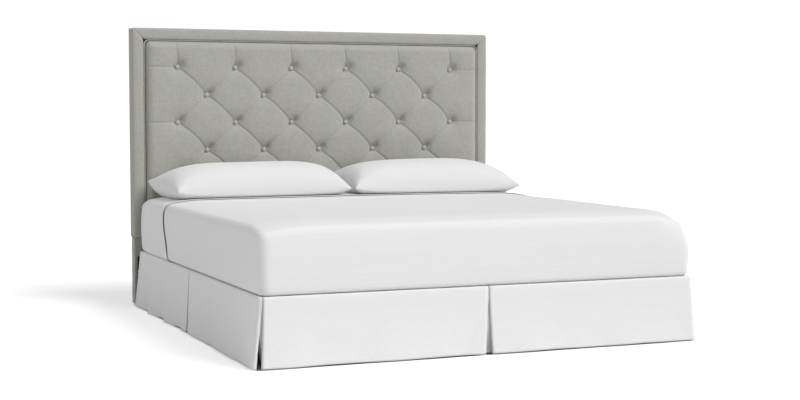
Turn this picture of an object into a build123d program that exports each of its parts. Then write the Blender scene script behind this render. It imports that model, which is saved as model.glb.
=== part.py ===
from build123d import *
import os

# Upholstered bed, king size. Millimetres. +X runs across the bed, +Y towards the headboard, +Z up.
# The origin is on the floor, under the middle of the whole bed.

# Overall sizes
BED_HALF_DEPTH = 1080
HEADBOARD_HALF_WIDTH = 990.5
HEADBOARD_TOP = 1410
HEADBOARD_THICKNESS = 87
HEADBOARD_BODY_BOTTOM = 348
MATTRESS_WIDTH = 1930
MATTRESS_LENGTH = 2032
MATTRESS_THICKNESS = 279.4

# Headboard: border frame
FABRIC = 1.2
BORDER_WIDTH = 57
BORDER_FRONT_PAD = 10
BORDER_EDGE_PAD = 4
BACK_FLAP_WIDTH = 32
BACK_COVER_THICKNESS = 0.8
BACK_COVER_INSET = 8

# Headboard: tufted panel
PANEL_GAP = 8.5
PANEL_PROUD = 24
PANEL_CORNER_RADIUS = 30
PANEL_EDGE_RADIUS = 24
BOARD_THICKNESS = 12
BOARD_SETBACK = 55
STUD_WIDTH = 64
STUD_OFFSET = 381
WELT_RADIUS = 4

# Headboard: buttons
BUTTON_PITCH_X = 304.8
BUTTON_PITCH_Z = 141.5
FIRST_ROW_Z = 1213.7
BUTTON_ROWS = 5
BUTTON_RADIUS = 12.5
BUTTON_HEIGHT = 8
BUTTON_EDGE = 3.5
POCKET_RADIUS = 16
POCKET_DEPTH = 21
TWINE_RADIUS = 1
FOAM_TWINE_HOLE = 1.3
BOARD_TWINE_HOLE = 2
ANCHOR_RADIUS = 9
ANCHOR_THICKNESS = 3

# Headboard: legs
LEG_WIDTH = 55
LEG_DEPTH = 64
LEG_FRONT_SETBACK = 17
LEG_GLIDE_HEIGHT = 8
LEG_GLIDE_RADIUS = 15
HANGER_BOLT_BOTTOM = 300
HANGER_BOLT_TOP = 400
HANGER_BOLT_SPACING = 28
BOLT_RADIUS = 4
BOLT_HEAD_RADIUS = 6.5
BOLT_HEAD_HEIGHT = 3
NUT_HEIGHT = 5

# Steel bed frame
FRAME_TOP = 152.4
STEEL = 3.2
RAIL_FLANGE = 39.2
RAIL_HEIGHT = 37.8
RAIL_INNER_X = 966
RAIL_FOOT_Y = -1060
RAIL_HEAD_Y = 1000
CROSS_TUBE_HEIGHT = 30
CROSS_TUBE_WIDTH = 40
CROSS_TUBE_WALL = 2
CROSS_TUBE_HALF_LENGTH = 960
CROSS_RAIL_Y = {"head": 840, "middle": -50, "foot": -940}
CENTRE_RAIL_WIDTH = 50
CENTRE_RAIL_FOOT_Y = -1040
CENTRE_RAIL_HEAD_Y = 930
RIVET_RADIUS = 4
RIVET_HEAD_RADIUS = 7
RIVET_X = 945
BRACKET_LOW = 110
BRACKET_HIGH = 250
BRACKET_ARM_START_Y = 900
BRACKET_ARM_LOW = 153
BRACKET_ARM_HIGH = 185
BRACKET_BOLT_Y = 981
BRACKET_BOLT_Z = (161, 177)
LEG_BOLT_Z = (140, 220)
LEG_BOLT_END_Y = 1060

# Steel bed frame: legs and feet
CORNER_LEG_X = 900
CORNER_LEG_RADIUS = 16
TUBE_WALL = 2
CORNER_GLIDE_HEIGHT = 10
CORNER_GLIDE_RADIUS = 20
GLIDE_SPIGOT_HEIGHT = 20
SPIGOT_PLAY = 0.3
CENTRE_LEG_RADIUS = 14
CENTRE_LEG_BOTTOM = 35
FOOT_NUT_HEIGHT = 12
FOOT_PAD_RADIUS = 22
FOOT_PAD_HEIGHT = 8
FOOT_BOSS_RADIUS = 8
FOOT_STUD_RADIUS = 5
FOOT_STUD_TOP = 80
RUNNING_PLAY = 0.3

# Box springs
BOX_GAP_BELOW = 0.4
BOX_TOP = 280
BOX_OUTER_X = 964.5
BOX_INNER_X = 0.75
BOX_FOOT_Y = -1069.5
BOX_HEAD_Y = 960.5
BOX_CORNER_RADIUS = 20
TICKING = 1.5
BOARD_WIDTH = 38
BOARD_HEIGHT = 58
SLAT_WIDTH = 64
SLAT_THICKNESS = 18
SLAT_COUNT = 8
GRID_BAR = 5
GRID_TOP_GAP = 1.5
GRID_LENGTHWISE_COUNT = 4
GRID_POST_COUNT = 3

# Bed skirt
SKIRT_TOP = 281.2
SKIRT_DECK = 1
SKIRT_CLOTH = 2
PLEAT_CLOTH = 1.5
HEM_Z = 6
SKIRT_TOP_HALF_WIDTH = 968.5
HEM_HALF_WIDTH = 996
SKIRT_TOP_FOOT_Y = -1074.5
SKIRT_HEAD_Y = 957
SIDE_PLEAT_Y = -20
PLEAT_SLIT = 2
PLEAT_INSERT_WIDTH = 200
PLEAT_CORNER_LEG = 100

# Mattress and sheets
MATTRESS_BOTTOM = 281.6
MATTRESS_HEAD_Y = 962
MATTRESS_CORNER = 50
MATTRESS_TOP_EDGE = 45
MATTRESS_BOTTOM_EDGE = 20
QUILT = 3
COMFORT_LAYER = 50
FITTED_SHEET = 1
TOP_SHEET = 1.2
SHEET_BOTTOM_Z = 284
TOP_SHEET_EDGE_Y = 420

# Pillows
PILLOW_WIDTH = 932
PILLOW_DEPTH = 508
PILLOW_LOFT = 178
PILLOW_CENTRE_X = 469
PILLOW_CENTRE_Y = 708
PILLOW_BOTTOM = 564
PILLOW_CORNER = 95
PILLOW_EDGE = 84
CASE_THICKNESS = 1.2

# Derived places
BACK_Y = BED_HALF_DEPTH
BORDER_FRONT_Y = BACK_Y - HEADBOARD_THICKNESS
WOOD_BACK_Y = BACK_Y - BACK_COVER_THICKNESS - FABRIC
WOOD_FRONT_Y = BORDER_FRONT_Y + FABRIC + BORDER_FRONT_PAD
WOOD_OUTER_X = HEADBOARD_HALF_WIDTH - FABRIC - BORDER_EDGE_PAD
WOOD_TOP = HEADBOARD_TOP - FABRIC - BORDER_EDGE_PAD
WOOD_BOTTOM = HEADBOARD_BODY_BOTTOM + FABRIC
OPENING_HALF_WIDTH = HEADBOARD_HALF_WIDTH - BORDER_WIDTH
OPENING_TOP = HEADBOARD_TOP - BORDER_WIDTH
OPENING_BOTTOM = HEADBOARD_BODY_BOTTOM + BORDER_WIDTH
STILE_INNER_X = OPENING_HALF_WIDTH + FABRIC
PANEL_FRONT_Y = BORDER_FRONT_Y - PANEL_PROUD
BOARD_FRONT_Y = BORDER_FRONT_Y + BOARD_SETBACK
BOARD_BACK_Y = BOARD_FRONT_Y + BOARD_THICKNESS
POCKET_FLOOR_Y = PANEL_FRONT_Y + POCKET_DEPTH
LEG_CENTRE_X = HEADBOARD_HALF_WIDTH - FABRIC - BORDER_EDGE_PAD - LEG_WIDTH / 2
LEG_FRONT_Y = BORDER_FRONT_Y + LEG_FRONT_SETBACK
BRACKET_FRONT_Y = LEG_FRONT_Y - FABRIC - STEEL
RAIL_OUTER_X = RAIL_INNER_X + STEEL
CROSS_TUBE_TOP = FRAME_TOP - STEEL
CROSS_TUBE_BOTTOM = CROSS_TUBE_TOP - CROSS_TUBE_HEIGHT
BOX_BOTTOM = FRAME_TOP + BOX_GAP_BELOW
MATTRESS_FOOT_Y = MATTRESS_HEAD_Y - MATTRESS_LENGTH
SIDES = {"left": -1, "right": 1}


def block(x_range, y_range, z_range):
    """A box between two corners, given as three (low, high) pairs in any order."""
    spans = [sorted(pair) for pair in (x_range, y_range, z_range)]
    lengths = [high - low for low, high in spans]
    middles = [(high + low) / 2 for low, high in spans]
    return Pos(*middles) * Box(*lengths)


def rod_z(x, y, z_range, radius):
    """An upright cylinder."""
    low, high = z_range
    return Pos(x, y, (low + high) / 2) * Cylinder(radius, high - low)


def rod_y(x, z, y_range, radius):
    """A cylinder that lies along Y."""
    low, high = y_range
    return Pos(x, (low + high) / 2, z) * Rot(90, 0, 0) * Cylinder(radius, high - low)


def rod_x(y, z, x_range, radius):
    """A cylinder that lies along X."""
    low, high = sorted(x_range)
    return Pos((low + high) / 2, y, z) * Rot(0, 90, 0) * Cylinder(radius, high - low)


def prism_y(points, y_range):
    """An outline in X and Z, carried along Y."""
    low, high = y_range
    outline = make_face(Polyline(*[(x, low, z) for x, z in points], close=True))
    return extrude(outline, amount=high - low, dir=(0, 1, 0))


def prism_x(points, x_range):
    """An outline in Y and Z, carried along X."""
    low, high = x_range
    outline = make_face(Polyline(*[(low, y, z) for y, z in points], close=True))
    return extrude(outline, amount=high - low, dir=(1, 0, 0))


def mirrored(shape, side):
    """A shape made for the right side, or its mirror image for the left."""
    return shape if side > 0 else mirror(shape, about=Plane.YZ)


def group(shapes):
    """Separate solids that share one node."""
    return Compound(children=[solid for shape in shapes for solid in shape.solids()])


def save(name, shape):
    export_step(shape, f"parts/{name}.step")


# ---------------------------------------------------------------- headboard frame


def headboard_stile(side):
    stile = block((STILE_INNER_X, WOOD_OUTER_X), (WOOD_FRONT_Y, WOOD_BACK_Y), (WOOD_BOTTOM, WOOD_TOP))
    for hole in hanger_bolts():
        stile -= hole
    return mirrored(stile, side)


def headboard_top_rail():
    return block(
        (-STILE_INNER_X, STILE_INNER_X), (WOOD_FRONT_Y, WOOD_BACK_Y), (OPENING_TOP + FABRIC, WOOD_TOP)
    )


def headboard_bottom_rail():
    half = OPENING_HALF_WIDTH
    return block((-half, half), (WOOD_FRONT_Y, WOOD_BACK_Y), (WOOD_BOTTOM, OPENING_BOTTOM - FABRIC))


def headboard_studs():
    """Two flat uprights between the rails, which hold the panel board from behind."""
    studs = []
    for side in SIDES.values():
        edges = (side * STUD_OFFSET - STUD_WIDTH / 2, side * STUD_OFFSET + STUD_WIDTH / 2)
        studs.append(block(edges, (BOARD_BACK_Y, WOOD_BACK_Y), (OPENING_BOTTOM - FABRIC, OPENING_TOP)))
    return group(studs)


# ---------------------------------------------------------------- tufted panel


def button_places():
    """Diamond tufting: rows of six and rows of five, half a pitch apart."""
    places = []
    for row in range(BUTTON_ROWS):
        count = 6 - row % 2
        for column in range(count):
            x = (column - (count - 1) / 2) * BUTTON_PITCH_X
            places.append((x, FIRST_ROW_Z - row * BUTTON_PITCH_Z))
    return places


def panel_block(inset, back_y):
    """The panel's outline with its rounded corners and rolled front edge, made smaller by inset."""
    front_y = PANEL_FRONT_Y + inset
    body = block(
        (-OPENING_HALF_WIDTH + PANEL_GAP + inset, OPENING_HALF_WIDTH - PANEL_GAP - inset),
        (front_y, back_y),
        (OPENING_BOTTOM + PANEL_GAP + inset, OPENING_TOP - PANEL_GAP - inset),
    )
    body = fillet(body.edges().filter_by(Axis.Y), PANEL_CORNER_RADIUS - inset)
    front = body.faces().sort_by(Axis.Y)[0]
    return fillet(front.edges(), PANEL_EDGE_RADIUS - inset)


def tufting_board():
    board = panel_block(FABRIC, BOARD_BACK_Y)
    board -= block((-1000, 1000), (PANEL_FRONT_Y - 1, BOARD_FRONT_Y), (0, HEADBOARD_TOP))
    for x, z in button_places():
        board -= rod_y(x, z, (BOARD_FRONT_Y - 1, BOARD_BACK_Y + 1), BOARD_TWINE_HOLE)
    return board


def panel_foam():
    foam = panel_block(FABRIC, BOARD_FRONT_Y)
    for x, z in button_places():
        foam -= rod_y(x, z, (PANEL_FRONT_Y, POCKET_FLOOR_Y + FABRIC), POCKET_RADIUS)
        foam -= rod_y(x, z, (PANEL_FRONT_Y, BOARD_FRONT_Y + 1), FOAM_TWINE_HOLE)
    return foam


def tufted_panel_cover():
    """Fabric over the foam and round the board's edges, drawn into a cup at each button."""
    cover = panel_block(0, BOARD_BACK_Y) - panel_block(FABRIC, BOARD_BACK_Y + 1)
    for x, z in button_places():
        cup = rod_y(x, z, (PANEL_FRONT_Y, POCKET_FLOOR_Y + FABRIC), POCKET_RADIUS)
        cup -= rod_y(x, z, (PANEL_FRONT_Y - 1, POCKET_FLOOR_Y), POCKET_RADIUS - FABRIC)
        cup -= rod_y(x, z, (POCKET_FLOOR_Y - 1, POCKET_FLOOR_Y + FABRIC + 1), FOAM_TWINE_HOLE)
        cover -= rod_y(x, z, (PANEL_FRONT_Y - 1, POCKET_FLOOR_Y), POCKET_RADIUS - FABRIC)
        cover += cup
    return cover


def tufting_buttons():
    button = Cylinder(BUTTON_RADIUS, BUTTON_HEIGHT)
    button = fillet(button.edges().sort_by(Axis.Z)[-1], BUTTON_EDGE)
    centre_y = POCKET_FLOOR_Y - BUTTON_HEIGHT / 2
    return group([Pos(x, centre_y, z) * Rot(90, 0, 0) * button for x, z in button_places()])


def button_twine():
    return group([rod_y(x, z, (POCKET_FLOOR_Y, BOARD_BACK_Y), TWINE_RADIUS) for x, z in button_places()])


def twine_anchors():
    span = (BOARD_BACK_Y, BOARD_BACK_Y + ANCHOR_THICKNESS)
    return group([rod_y(x, z, span, ANCHOR_RADIUS) for x, z in button_places()])


def panel_welt():
    """One run of piping round the opening, in front of the joint between border and panel."""
    width = 2 * (OPENING_HALF_WIDTH - WELT_RADIUS)
    height = OPENING_TOP - OPENING_BOTTOM - 2 * WELT_RADIUS
    centre = Pos(0, BORDER_FRONT_Y + WELT_RADIUS - 0.5, (OPENING_TOP + OPENING_BOTTOM) / 2)
    path = (centre * Rot(90, 0, 0) * RectangleRounded(width, height, PANEL_EDGE_RADIUS)).wires()[0]
    section = Plane(origin=path @ 0, z_dir=path % 0) * Circle(WELT_RADIUS)
    return sweep(section, path=path)


# ---------------------------------------------------------------- border padding and covers


def mitre_region(edge):
    """The part of the front view that belongs to one border member, cut at 45 degrees at the top corners."""
    outer_x = HEADBOARD_HALF_WIDTH
    inner_x = OPENING_HALF_WIDTH
    if edge == "side":
        corners = [
            (inner_x, WOOD_BOTTOM),
            (outer_x, WOOD_BOTTOM),
            (outer_x, HEADBOARD_TOP),
            (inner_x, OPENING_TOP),
        ]
    else:
        corners = [
            (-inner_x, OPENING_TOP),
            (inner_x, OPENING_TOP),
            (outer_x, HEADBOARD_TOP),
            (-outer_x, HEADBOARD_TOP),
        ]
    return prism_y(corners, (BORDER_FRONT_Y - 1, BACK_Y + 1))


def border_padding_side(side):
    pad_outer = HEADBOARD_HALF_WIDTH - FABRIC
    heights = (WOOD_BOTTOM, HEADBOARD_TOP - FABRIC)
    front = block((STILE_INNER_X, pad_outer), (BORDER_FRONT_Y + FABRIC, WOOD_FRONT_Y), heights)
    edge = block((WOOD_OUTER_X, pad_outer), (BORDER_FRONT_Y + FABRIC, WOOD_BACK_Y), heights)
    return mirrored((front + edge) & mitre_region("side"), side)


def border_padding_top():
    pad_outer = HEADBOARD_HALF_WIDTH - FABRIC
    pad_top = HEADBOARD_TOP - FABRIC
    front = block(
        (-pad_outer, pad_outer), (BORDER_FRONT_Y + FABRIC, WOOD_FRONT_Y), (OPENING_TOP + FABRIC, pad_top)
    )
    edge = block((-pad_outer, pad_outer), (BORDER_FRONT_Y + FABRIC, WOOD_BACK_Y), (WOOD_TOP, pad_top))
    return (front + edge) & mitre_region("top")


def border_cover_side(side):
    """Front, outer edge, inner edge and a flap that turns on to the back."""
    outer = HEADBOARD_HALF_WIDTH
    heights = (WOOD_BOTTOM, HEADBOARD_TOP)
    full_depth = (BORDER_FRONT_Y, WOOD_BACK_Y + FABRIC)
    cover = block((OPENING_HALF_WIDTH, outer), (BORDER_FRONT_Y, BORDER_FRONT_Y + FABRIC), heights)
    cover += block((outer - FABRIC, outer), full_depth, heights)
    cover += block((OPENING_HALF_WIDTH, STILE_INNER_X), (BORDER_FRONT_Y, WOOD_BACK_Y), heights)
    cover += block((outer - BACK_FLAP_WIDTH, outer), (WOOD_BACK_Y, WOOD_BACK_Y + FABRIC), heights)
    return mirrored(cover & mitre_region("side"), side)


def border_cover_top():
    outer = HEADBOARD_HALF_WIDTH
    across = (-outer, outer)
    top = HEADBOARD_TOP
    cover = block(across, (BORDER_FRONT_Y, BORDER_FRONT_Y + FABRIC), (OPENING_TOP, top))
    cover += block(across, (BORDER_FRONT_Y, WOOD_BACK_Y + FABRIC), (top - FABRIC, top))
    cover += block(across, (BORDER_FRONT_Y, WOOD_BACK_Y), (OPENING_TOP, OPENING_TOP + FABRIC))
    cover += block(across, (WOOD_BACK_Y, WOOD_BACK_Y + FABRIC), (top - BACK_FLAP_WIDTH, top))
    return cover & mitre_region("top")


def border_cover_bottom():
    """The bottom rail has no padding: its cover lies straight on the wood."""
    across = (-OPENING_HALF_WIDTH, OPENING_HALF_WIDTH)
    low = HEADBOARD_BODY_BOTTOM
    front_y = WOOD_FRONT_Y - FABRIC
    cover = block(across, (front_y, WOOD_FRONT_Y), (low, OPENING_BOTTOM))
    leg_inner_x = LEG_CENTRE_X - LEG_WIDTH / 2
    cover += block((-leg_inner_x, leg_inner_x), (front_y, WOOD_BACK_Y + FABRIC), (low, WOOD_BOTTOM))
    cover += block(across, (front_y, BOARD_FRONT_Y), (OPENING_BOTTOM - FABRIC, OPENING_BOTTOM))
    cover += block(across, (WOOD_BACK_Y, WOOD_BACK_Y + FABRIC), (low, low + BACK_FLAP_WIDTH))
    return cover


def headboard_back_cover():
    half_width = HEADBOARD_HALF_WIDTH - BACK_COVER_INSET
    heights = (HEADBOARD_BODY_BOTTOM + BACK_COVER_INSET, HEADBOARD_TOP - BACK_COVER_INSET)
    return block((-half_width, half_width), (BACK_Y - BACK_COVER_THICKNESS, BACK_Y), heights)


# ---------------------------------------------------------------- headboard legs


def hanger_bolts():
    """Two upright bolts that join the right leg to the right stile."""
    middle_y = LEG_FRONT_Y + LEG_DEPTH / 2
    heights = (HANGER_BOLT_BOTTOM, HANGER_BOLT_TOP)
    return [
        rod_z(LEG_CENTRE_X, middle_y + offset, heights, BOLT_RADIUS)
        for offset in (-HANGER_BOLT_SPACING / 2, HANGER_BOLT_SPACING / 2)
    ]


def leg_bracket_bolts():
    """Two level bolts that hold the right bracket on the right leg."""
    bolts = []
    for z in LEG_BOLT_Z:
        shank = rod_y(LEG_CENTRE_X, z, (BRACKET_FRONT_Y, LEG_BOLT_END_Y), BOLT_RADIUS)
        head = rod_y(LEG_CENTRE_X, z, (BRACKET_FRONT_Y - BOLT_HEAD_HEIGHT, BRACKET_FRONT_Y), BOLT_HEAD_RADIUS)
        bolts.append(shank + head)
    return bolts


def rail_bracket_bolts():
    """Two bolts, with nuts, that hold the right bracket's arm on the right side rail."""
    bolts = []
    arm_face = RAIL_OUTER_X + STEEL
    for z in BRACKET_BOLT_Z:
        bolt = rod_x(BRACKET_BOLT_Y, z, (RAIL_INNER_X - NUT_HEIGHT, arm_face), BOLT_RADIUS)
        bolt += rod_x(BRACKET_BOLT_Y, z, (arm_face, arm_face + BOLT_HEAD_HEIGHT), BOLT_HEAD_RADIUS)
        bolt += rod_x(BRACKET_BOLT_Y, z, (RAIL_INNER_X - NUT_HEIGHT, RAIL_INNER_X), BOLT_HEAD_RADIUS)
        bolts.append(bolt)
    return bolts


def headboard_bolts():
    right = hanger_bolts() + leg_bracket_bolts() + rail_bracket_bolts()
    return group([mirrored(bolt, side) for side in SIDES.values() for bolt in right])


def headboard_leg(side):
    leg = block(
        (LEG_CENTRE_X - LEG_WIDTH / 2, LEG_CENTRE_X + LEG_WIDTH / 2),
        (LEG_FRONT_Y, LEG_FRONT_Y + LEG_DEPTH),
        (LEG_GLIDE_HEIGHT, WOOD_BOTTOM),
    )
    for hole in hanger_bolts() + leg_bracket_bolts():
        leg -= hole
    return mirrored(leg, side)


def headboard_leg_covers():
    """A sleeve of the same fabric round each leg."""
    heights = (LEG_GLIDE_HEIGHT, HEADBOARD_BODY_BOTTOM)
    half = LEG_WIDTH / 2
    sleeve = block(
        (LEG_CENTRE_X - half - FABRIC, LEG_CENTRE_X + half + FABRIC),
        (LEG_FRONT_Y - FABRIC, LEG_FRONT_Y + LEG_DEPTH + FABRIC),
        heights,
    )
    sleeve -= block(
        (LEG_CENTRE_X - half, LEG_CENTRE_X + half), (LEG_FRONT_Y, LEG_FRONT_Y + LEG_DEPTH), heights
    )
    for hole in leg_bracket_bolts():
        sleeve -= hole
    return group([mirrored(sleeve, side) for side in SIDES.values()])


def headboard_leg_glides():
    middle_y = LEG_FRONT_Y + LEG_DEPTH / 2
    glide = rod_z(LEG_CENTRE_X, middle_y, (0, LEG_GLIDE_HEIGHT), LEG_GLIDE_RADIUS)
    return group([mirrored(glide, side) for side in SIDES.values()])


# ---------------------------------------------------------------- steel bed frame


def side_rail(side):
    """Angle section: the box spring stands on one flange and against the other."""
    along = (RAIL_FOOT_Y, RAIL_HEAD_Y)
    rail = block((RAIL_OUTER_X - RAIL_FLANGE, RAIL_OUTER_X), along, (FRAME_TOP - STEEL, FRAME_TOP))
    rail += block(
        (RAIL_INNER_X, RAIL_OUTER_X), along, (FRAME_TOP - STEEL, FRAME_TOP - STEEL + RAIL_HEIGHT)
    )
    for hole in rail_bracket_bolts() + rail_rivets():
        rail -= hole
    return mirrored(rail, side)


def cross_rail(y):
    """A level rectangular tube under the side rails."""
    edges = (y - CROSS_TUBE_WIDTH / 2, y + CROSS_TUBE_WIDTH / 2)
    bore = (edges[0] + CROSS_TUBE_WALL, edges[1] - CROSS_TUBE_WALL)
    along = (-CROSS_TUBE_HALF_LENGTH, CROSS_TUBE_HALF_LENGTH)
    tube = block(along, edges, (CROSS_TUBE_BOTTOM, CROSS_TUBE_TOP))
    bore_heights = (CROSS_TUBE_BOTTOM + CROSS_TUBE_WALL, CROSS_TUBE_TOP - CROSS_TUBE_WALL)
    tube -= block(along, bore, bore_heights)
    for x in (-RIVET_X, 0, RIVET_X):
        tube -= rod_z(x, y, (bore_heights[1] - 1, CROSS_TUBE_TOP + 1), RIVET_RADIUS)
    return tube


def centre_rail():
    """A flat bar down the middle, under the inner edges of both box springs."""
    half = CENTRE_RAIL_WIDTH / 2
    rail = block(
        (-half, half), (CENTRE_RAIL_FOOT_Y, CENTRE_RAIL_HEAD_Y), (FRAME_TOP - STEEL, FRAME_TOP)
    )
    for y in CROSS_RAIL_Y.values():
        rail -= rivet(0, y)
    return rail


def rivet(x, y):
    """The closed head is inside the cross tube, and the other end is flush with the rail's top."""
    head_top = CROSS_TUBE_TOP - CROSS_TUBE_WALL
    shank = rod_z(x, y, (head_top, FRAME_TOP), RIVET_RADIUS)
    return shank + rod_z(x, y, (head_top - 2, head_top), RIVET_HEAD_RADIUS)


def rail_rivets():
    return [rivet(RIVET_X, y) for y in CROSS_RAIL_Y.values()]


def frame_rivets():
    rivets = [rivet(x, y) for x in (-RIVET_X, 0, RIVET_X) for y in CROSS_RAIL_Y.values()]
    return group(rivets)


def headboard_bracket(side):
    """A plate on the leg's front and an arm along the outside of the side rail."""
    arm_outer = RAIL_OUTER_X + STEEL
    plate = block(
        (LEG_CENTRE_X - LEG_WIDTH / 2 + 4, arm_outer),
        (BRACKET_FRONT_Y, BRACKET_FRONT_Y + STEEL),
        (BRACKET_LOW, BRACKET_HIGH),
    )
    arm = block(
        (RAIL_OUTER_X, arm_outer),
        (BRACKET_ARM_START_Y, BRACKET_FRONT_Y + STEEL),
        (BRACKET_ARM_LOW, BRACKET_ARM_HIGH),
    )
    bracket = plate + arm
    for hole in leg_bracket_bolts() + rail_bracket_bolts():
        bracket -= hole
    return mirrored(bracket, side)


def corner_legs():
    heights = (CORNER_GLIDE_HEIGHT, CROSS_TUBE_BOTTOM)
    legs = []
    for x in (-CORNER_LEG_X, CORNER_LEG_X):
        for y in (CROSS_RAIL_Y["head"], CROSS_RAIL_Y["foot"]):
            leg = rod_z(x, y, heights, CORNER_LEG_RADIUS)
            legs.append(leg - rod_z(x, y, heights, CORNER_LEG_RADIUS - TUBE_WALL))
    return group(legs)


def corner_leg_glides():
    """Plastic glides with a spigot that plugs into the leg tube."""
    glides = []
    for x in (-CORNER_LEG_X, CORNER_LEG_X):
        for y in (CROSS_RAIL_Y["head"], CROSS_RAIL_Y["foot"]):
            glide = rod_z(x, y, (0, CORNER_GLIDE_HEIGHT), CORNER_GLIDE_RADIUS)
            spigot_radius = CORNER_LEG_RADIUS - TUBE_WALL - SPIGOT_PLAY
            spigot_top = CORNER_GLIDE_HEIGHT + GLIDE_SPIGOT_HEIGHT
            glides.append(glide + rod_z(x, y, (CORNER_GLIDE_HEIGHT, spigot_top), spigot_radius))
    return group(glides)


def centre_legs():
    """Tubes under the middle of each cross rail, with a threaded nut in the lower end."""
    legs = []
    for y in CROSS_RAIL_Y.values():
        leg = rod_z(0, y, (CENTRE_LEG_BOTTOM, CROSS_TUBE_BOTTOM), CENTRE_LEG_RADIUS)
        nut_top = CENTRE_LEG_BOTTOM + FOOT_NUT_HEIGHT
        leg -= rod_z(0, y, (nut_top, CROSS_TUBE_BOTTOM + 1), CENTRE_LEG_RADIUS - TUBE_WALL)
        leg -= rod_z(0, y, (CENTRE_LEG_BOTTOM - 1, nut_top + 1), FOOT_STUD_RADIUS + RUNNING_PLAY)
        legs.append(leg)
    return group(legs)


def levelling_foot(y):
    """A pad, a boss to turn it by, and the threaded stud, screwed right in."""
    pad = rod_z(0, y, (0, FOOT_PAD_HEIGHT), FOOT_PAD_RADIUS)
    boss = rod_z(0, y, (FOOT_PAD_HEIGHT, CENTRE_LEG_BOTTOM - RUNNING_PLAY), FOOT_BOSS_RADIUS)
    stud = rod_z(0, y, (CENTRE_LEG_BOTTOM - RUNNING_PLAY, FOOT_STUD_TOP), FOOT_STUD_RADIUS)
    return pad + boss + stud


# ---------------------------------------------------------------- box springs


def box_spring_block(inset):
    """The right box spring's outer shape, made smaller by inset."""
    body = block(
        (BOX_INNER_X + inset, BOX_OUTER_X - inset),
        (BOX_FOOT_Y + inset, BOX_HEAD_Y - inset),
        (BOX_BOTTOM + inset, BOX_TOP - inset),
    )
    return fillet(body.edges().filter_by(Axis.Z), BOX_CORNER_RADIUS - inset)


def box_spring_cover(side):
    return mirrored(box_spring_block(0) - box_spring_block(TICKING), side)


def box_spring_frame(side):
    """Softwood edge boards, with slats laid across them."""
    low_x = BOX_INNER_X + TICKING + BOX_CORNER_RADIUS / 2
    high_x = BOX_OUTER_X - TICKING - BOX_CORNER_RADIUS / 2
    low_y = BOX_FOOT_Y + TICKING + BOX_CORNER_RADIUS / 2
    high_y = BOX_HEAD_Y - TICKING - BOX_CORNER_RADIUS / 2
    low_z = BOX_BOTTOM + TICKING
    heights = (low_z, low_z + BOARD_HEIGHT)
    boards = [
        block((low_x, low_x + BOARD_WIDTH), (low_y, high_y), heights),
        block((high_x - BOARD_WIDTH, high_x), (low_y, high_y), heights),
        block((low_x + BOARD_WIDTH, high_x - BOARD_WIDTH), (low_y, low_y + BOARD_WIDTH), heights),
        block((low_x + BOARD_WIDTH, high_x - BOARD_WIDTH), (high_y - BOARD_WIDTH, high_y), heights),
    ]
    for start in slat_starts(low_y, high_y):
        slat_heights = (heights[1], heights[1] + SLAT_THICKNESS)
        boards.append(block((low_x, high_x), (start, start + SLAT_WIDTH), slat_heights))
    return group([mirrored(board, side) for board in boards])


def slat_starts(low_y, high_y):
    pitch = (high_y - low_y - SLAT_WIDTH) / (SLAT_COUNT - 1)
    return [low_y + number * pitch for number in range(SLAT_COUNT)]


def box_spring_grid(side):
    """A steel grid on short posts: a bar over each slat, and long bars on top of those."""
    low_x = BOX_INNER_X + TICKING + BOX_CORNER_RADIUS
    high_x = BOX_OUTER_X - TICKING - BOX_CORNER_RADIUS
    low_y = BOX_FOOT_Y + TICKING + BOX_CORNER_RADIUS / 2
    high_y = BOX_HEAD_Y - TICKING - BOX_CORNER_RADIUS / 2
    top = BOX_TOP - TICKING - GRID_TOP_GAP
    bar_low = top - 2 * GRID_BAR
    slat_top = BOX_BOTTOM + TICKING + BOARD_HEIGHT + SLAT_THICKNESS
    pieces = []
    for start in slat_starts(low_y, high_y):
        middle = start + SLAT_WIDTH / 2
        edges = (middle - GRID_BAR / 2, middle + GRID_BAR / 2)
        pieces.append(block((low_x, high_x), edges, (bar_low, bar_low + GRID_BAR)))
        for number in range(GRID_POST_COUNT):
            post_x = low_x + (high_x - low_x) * (number + 0.5) / GRID_POST_COUNT
            pieces.append(rod_z(post_x, middle, (slat_top, bar_low), GRID_BAR / 2))
    for number in range(GRID_LENGTHWISE_COUNT):
        bar_x = low_x + (high_x - low_x - GRID_BAR) * number / (GRID_LENGTHWISE_COUNT - 1)
        pieces.append(block((bar_x, bar_x + GRID_BAR), (low_y, high_y), (bar_low + GRID_BAR, top)))
    return group([mirrored(piece, side) for piece in pieces])


# ---------------------------------------------------------------- bed skirt


def skirt_side_x(z):
    """Outer face of the side drop at a height: it leans out towards the hem."""
    return SKIRT_TOP_HALF_WIDTH + (HEM_HALF_WIDTH - SKIRT_TOP_HALF_WIDTH) * (SKIRT_TOP - z) / (SKIRT_TOP - HEM_Z)


def skirt_foot_y(z):
    """Outer face of the foot drop at a height."""
    return SKIRT_TOP_FOOT_Y - (BED_HALF_DEPTH + SKIRT_TOP_FOOT_Y) * (SKIRT_TOP - z) / (SKIRT_TOP - HEM_Z)


def side_drop(y_range, outer_inset, thickness, top_z):
    """A leaning slab of cloth on the right side."""
    outline = [
        (skirt_side_x(top_z) - outer_inset - thickness, top_z),
        (skirt_side_x(top_z) - outer_inset, top_z),
        (skirt_side_x(HEM_Z) - outer_inset, HEM_Z),
        (skirt_side_x(HEM_Z) - outer_inset - thickness, HEM_Z),
    ]
    return prism_y(outline, y_range)


def foot_drop(x_range, outer_inset, thickness, top_z):
    outline = [
        (skirt_foot_y(top_z) + outer_inset + thickness, top_z),
        (skirt_foot_y(top_z) + outer_inset, top_z),
        (skirt_foot_y(HEM_Z) + outer_inset, HEM_Z),
        (skirt_foot_y(HEM_Z) + outer_inset + thickness, HEM_Z),
    ]
    return prism_x(outline, x_range)


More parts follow.
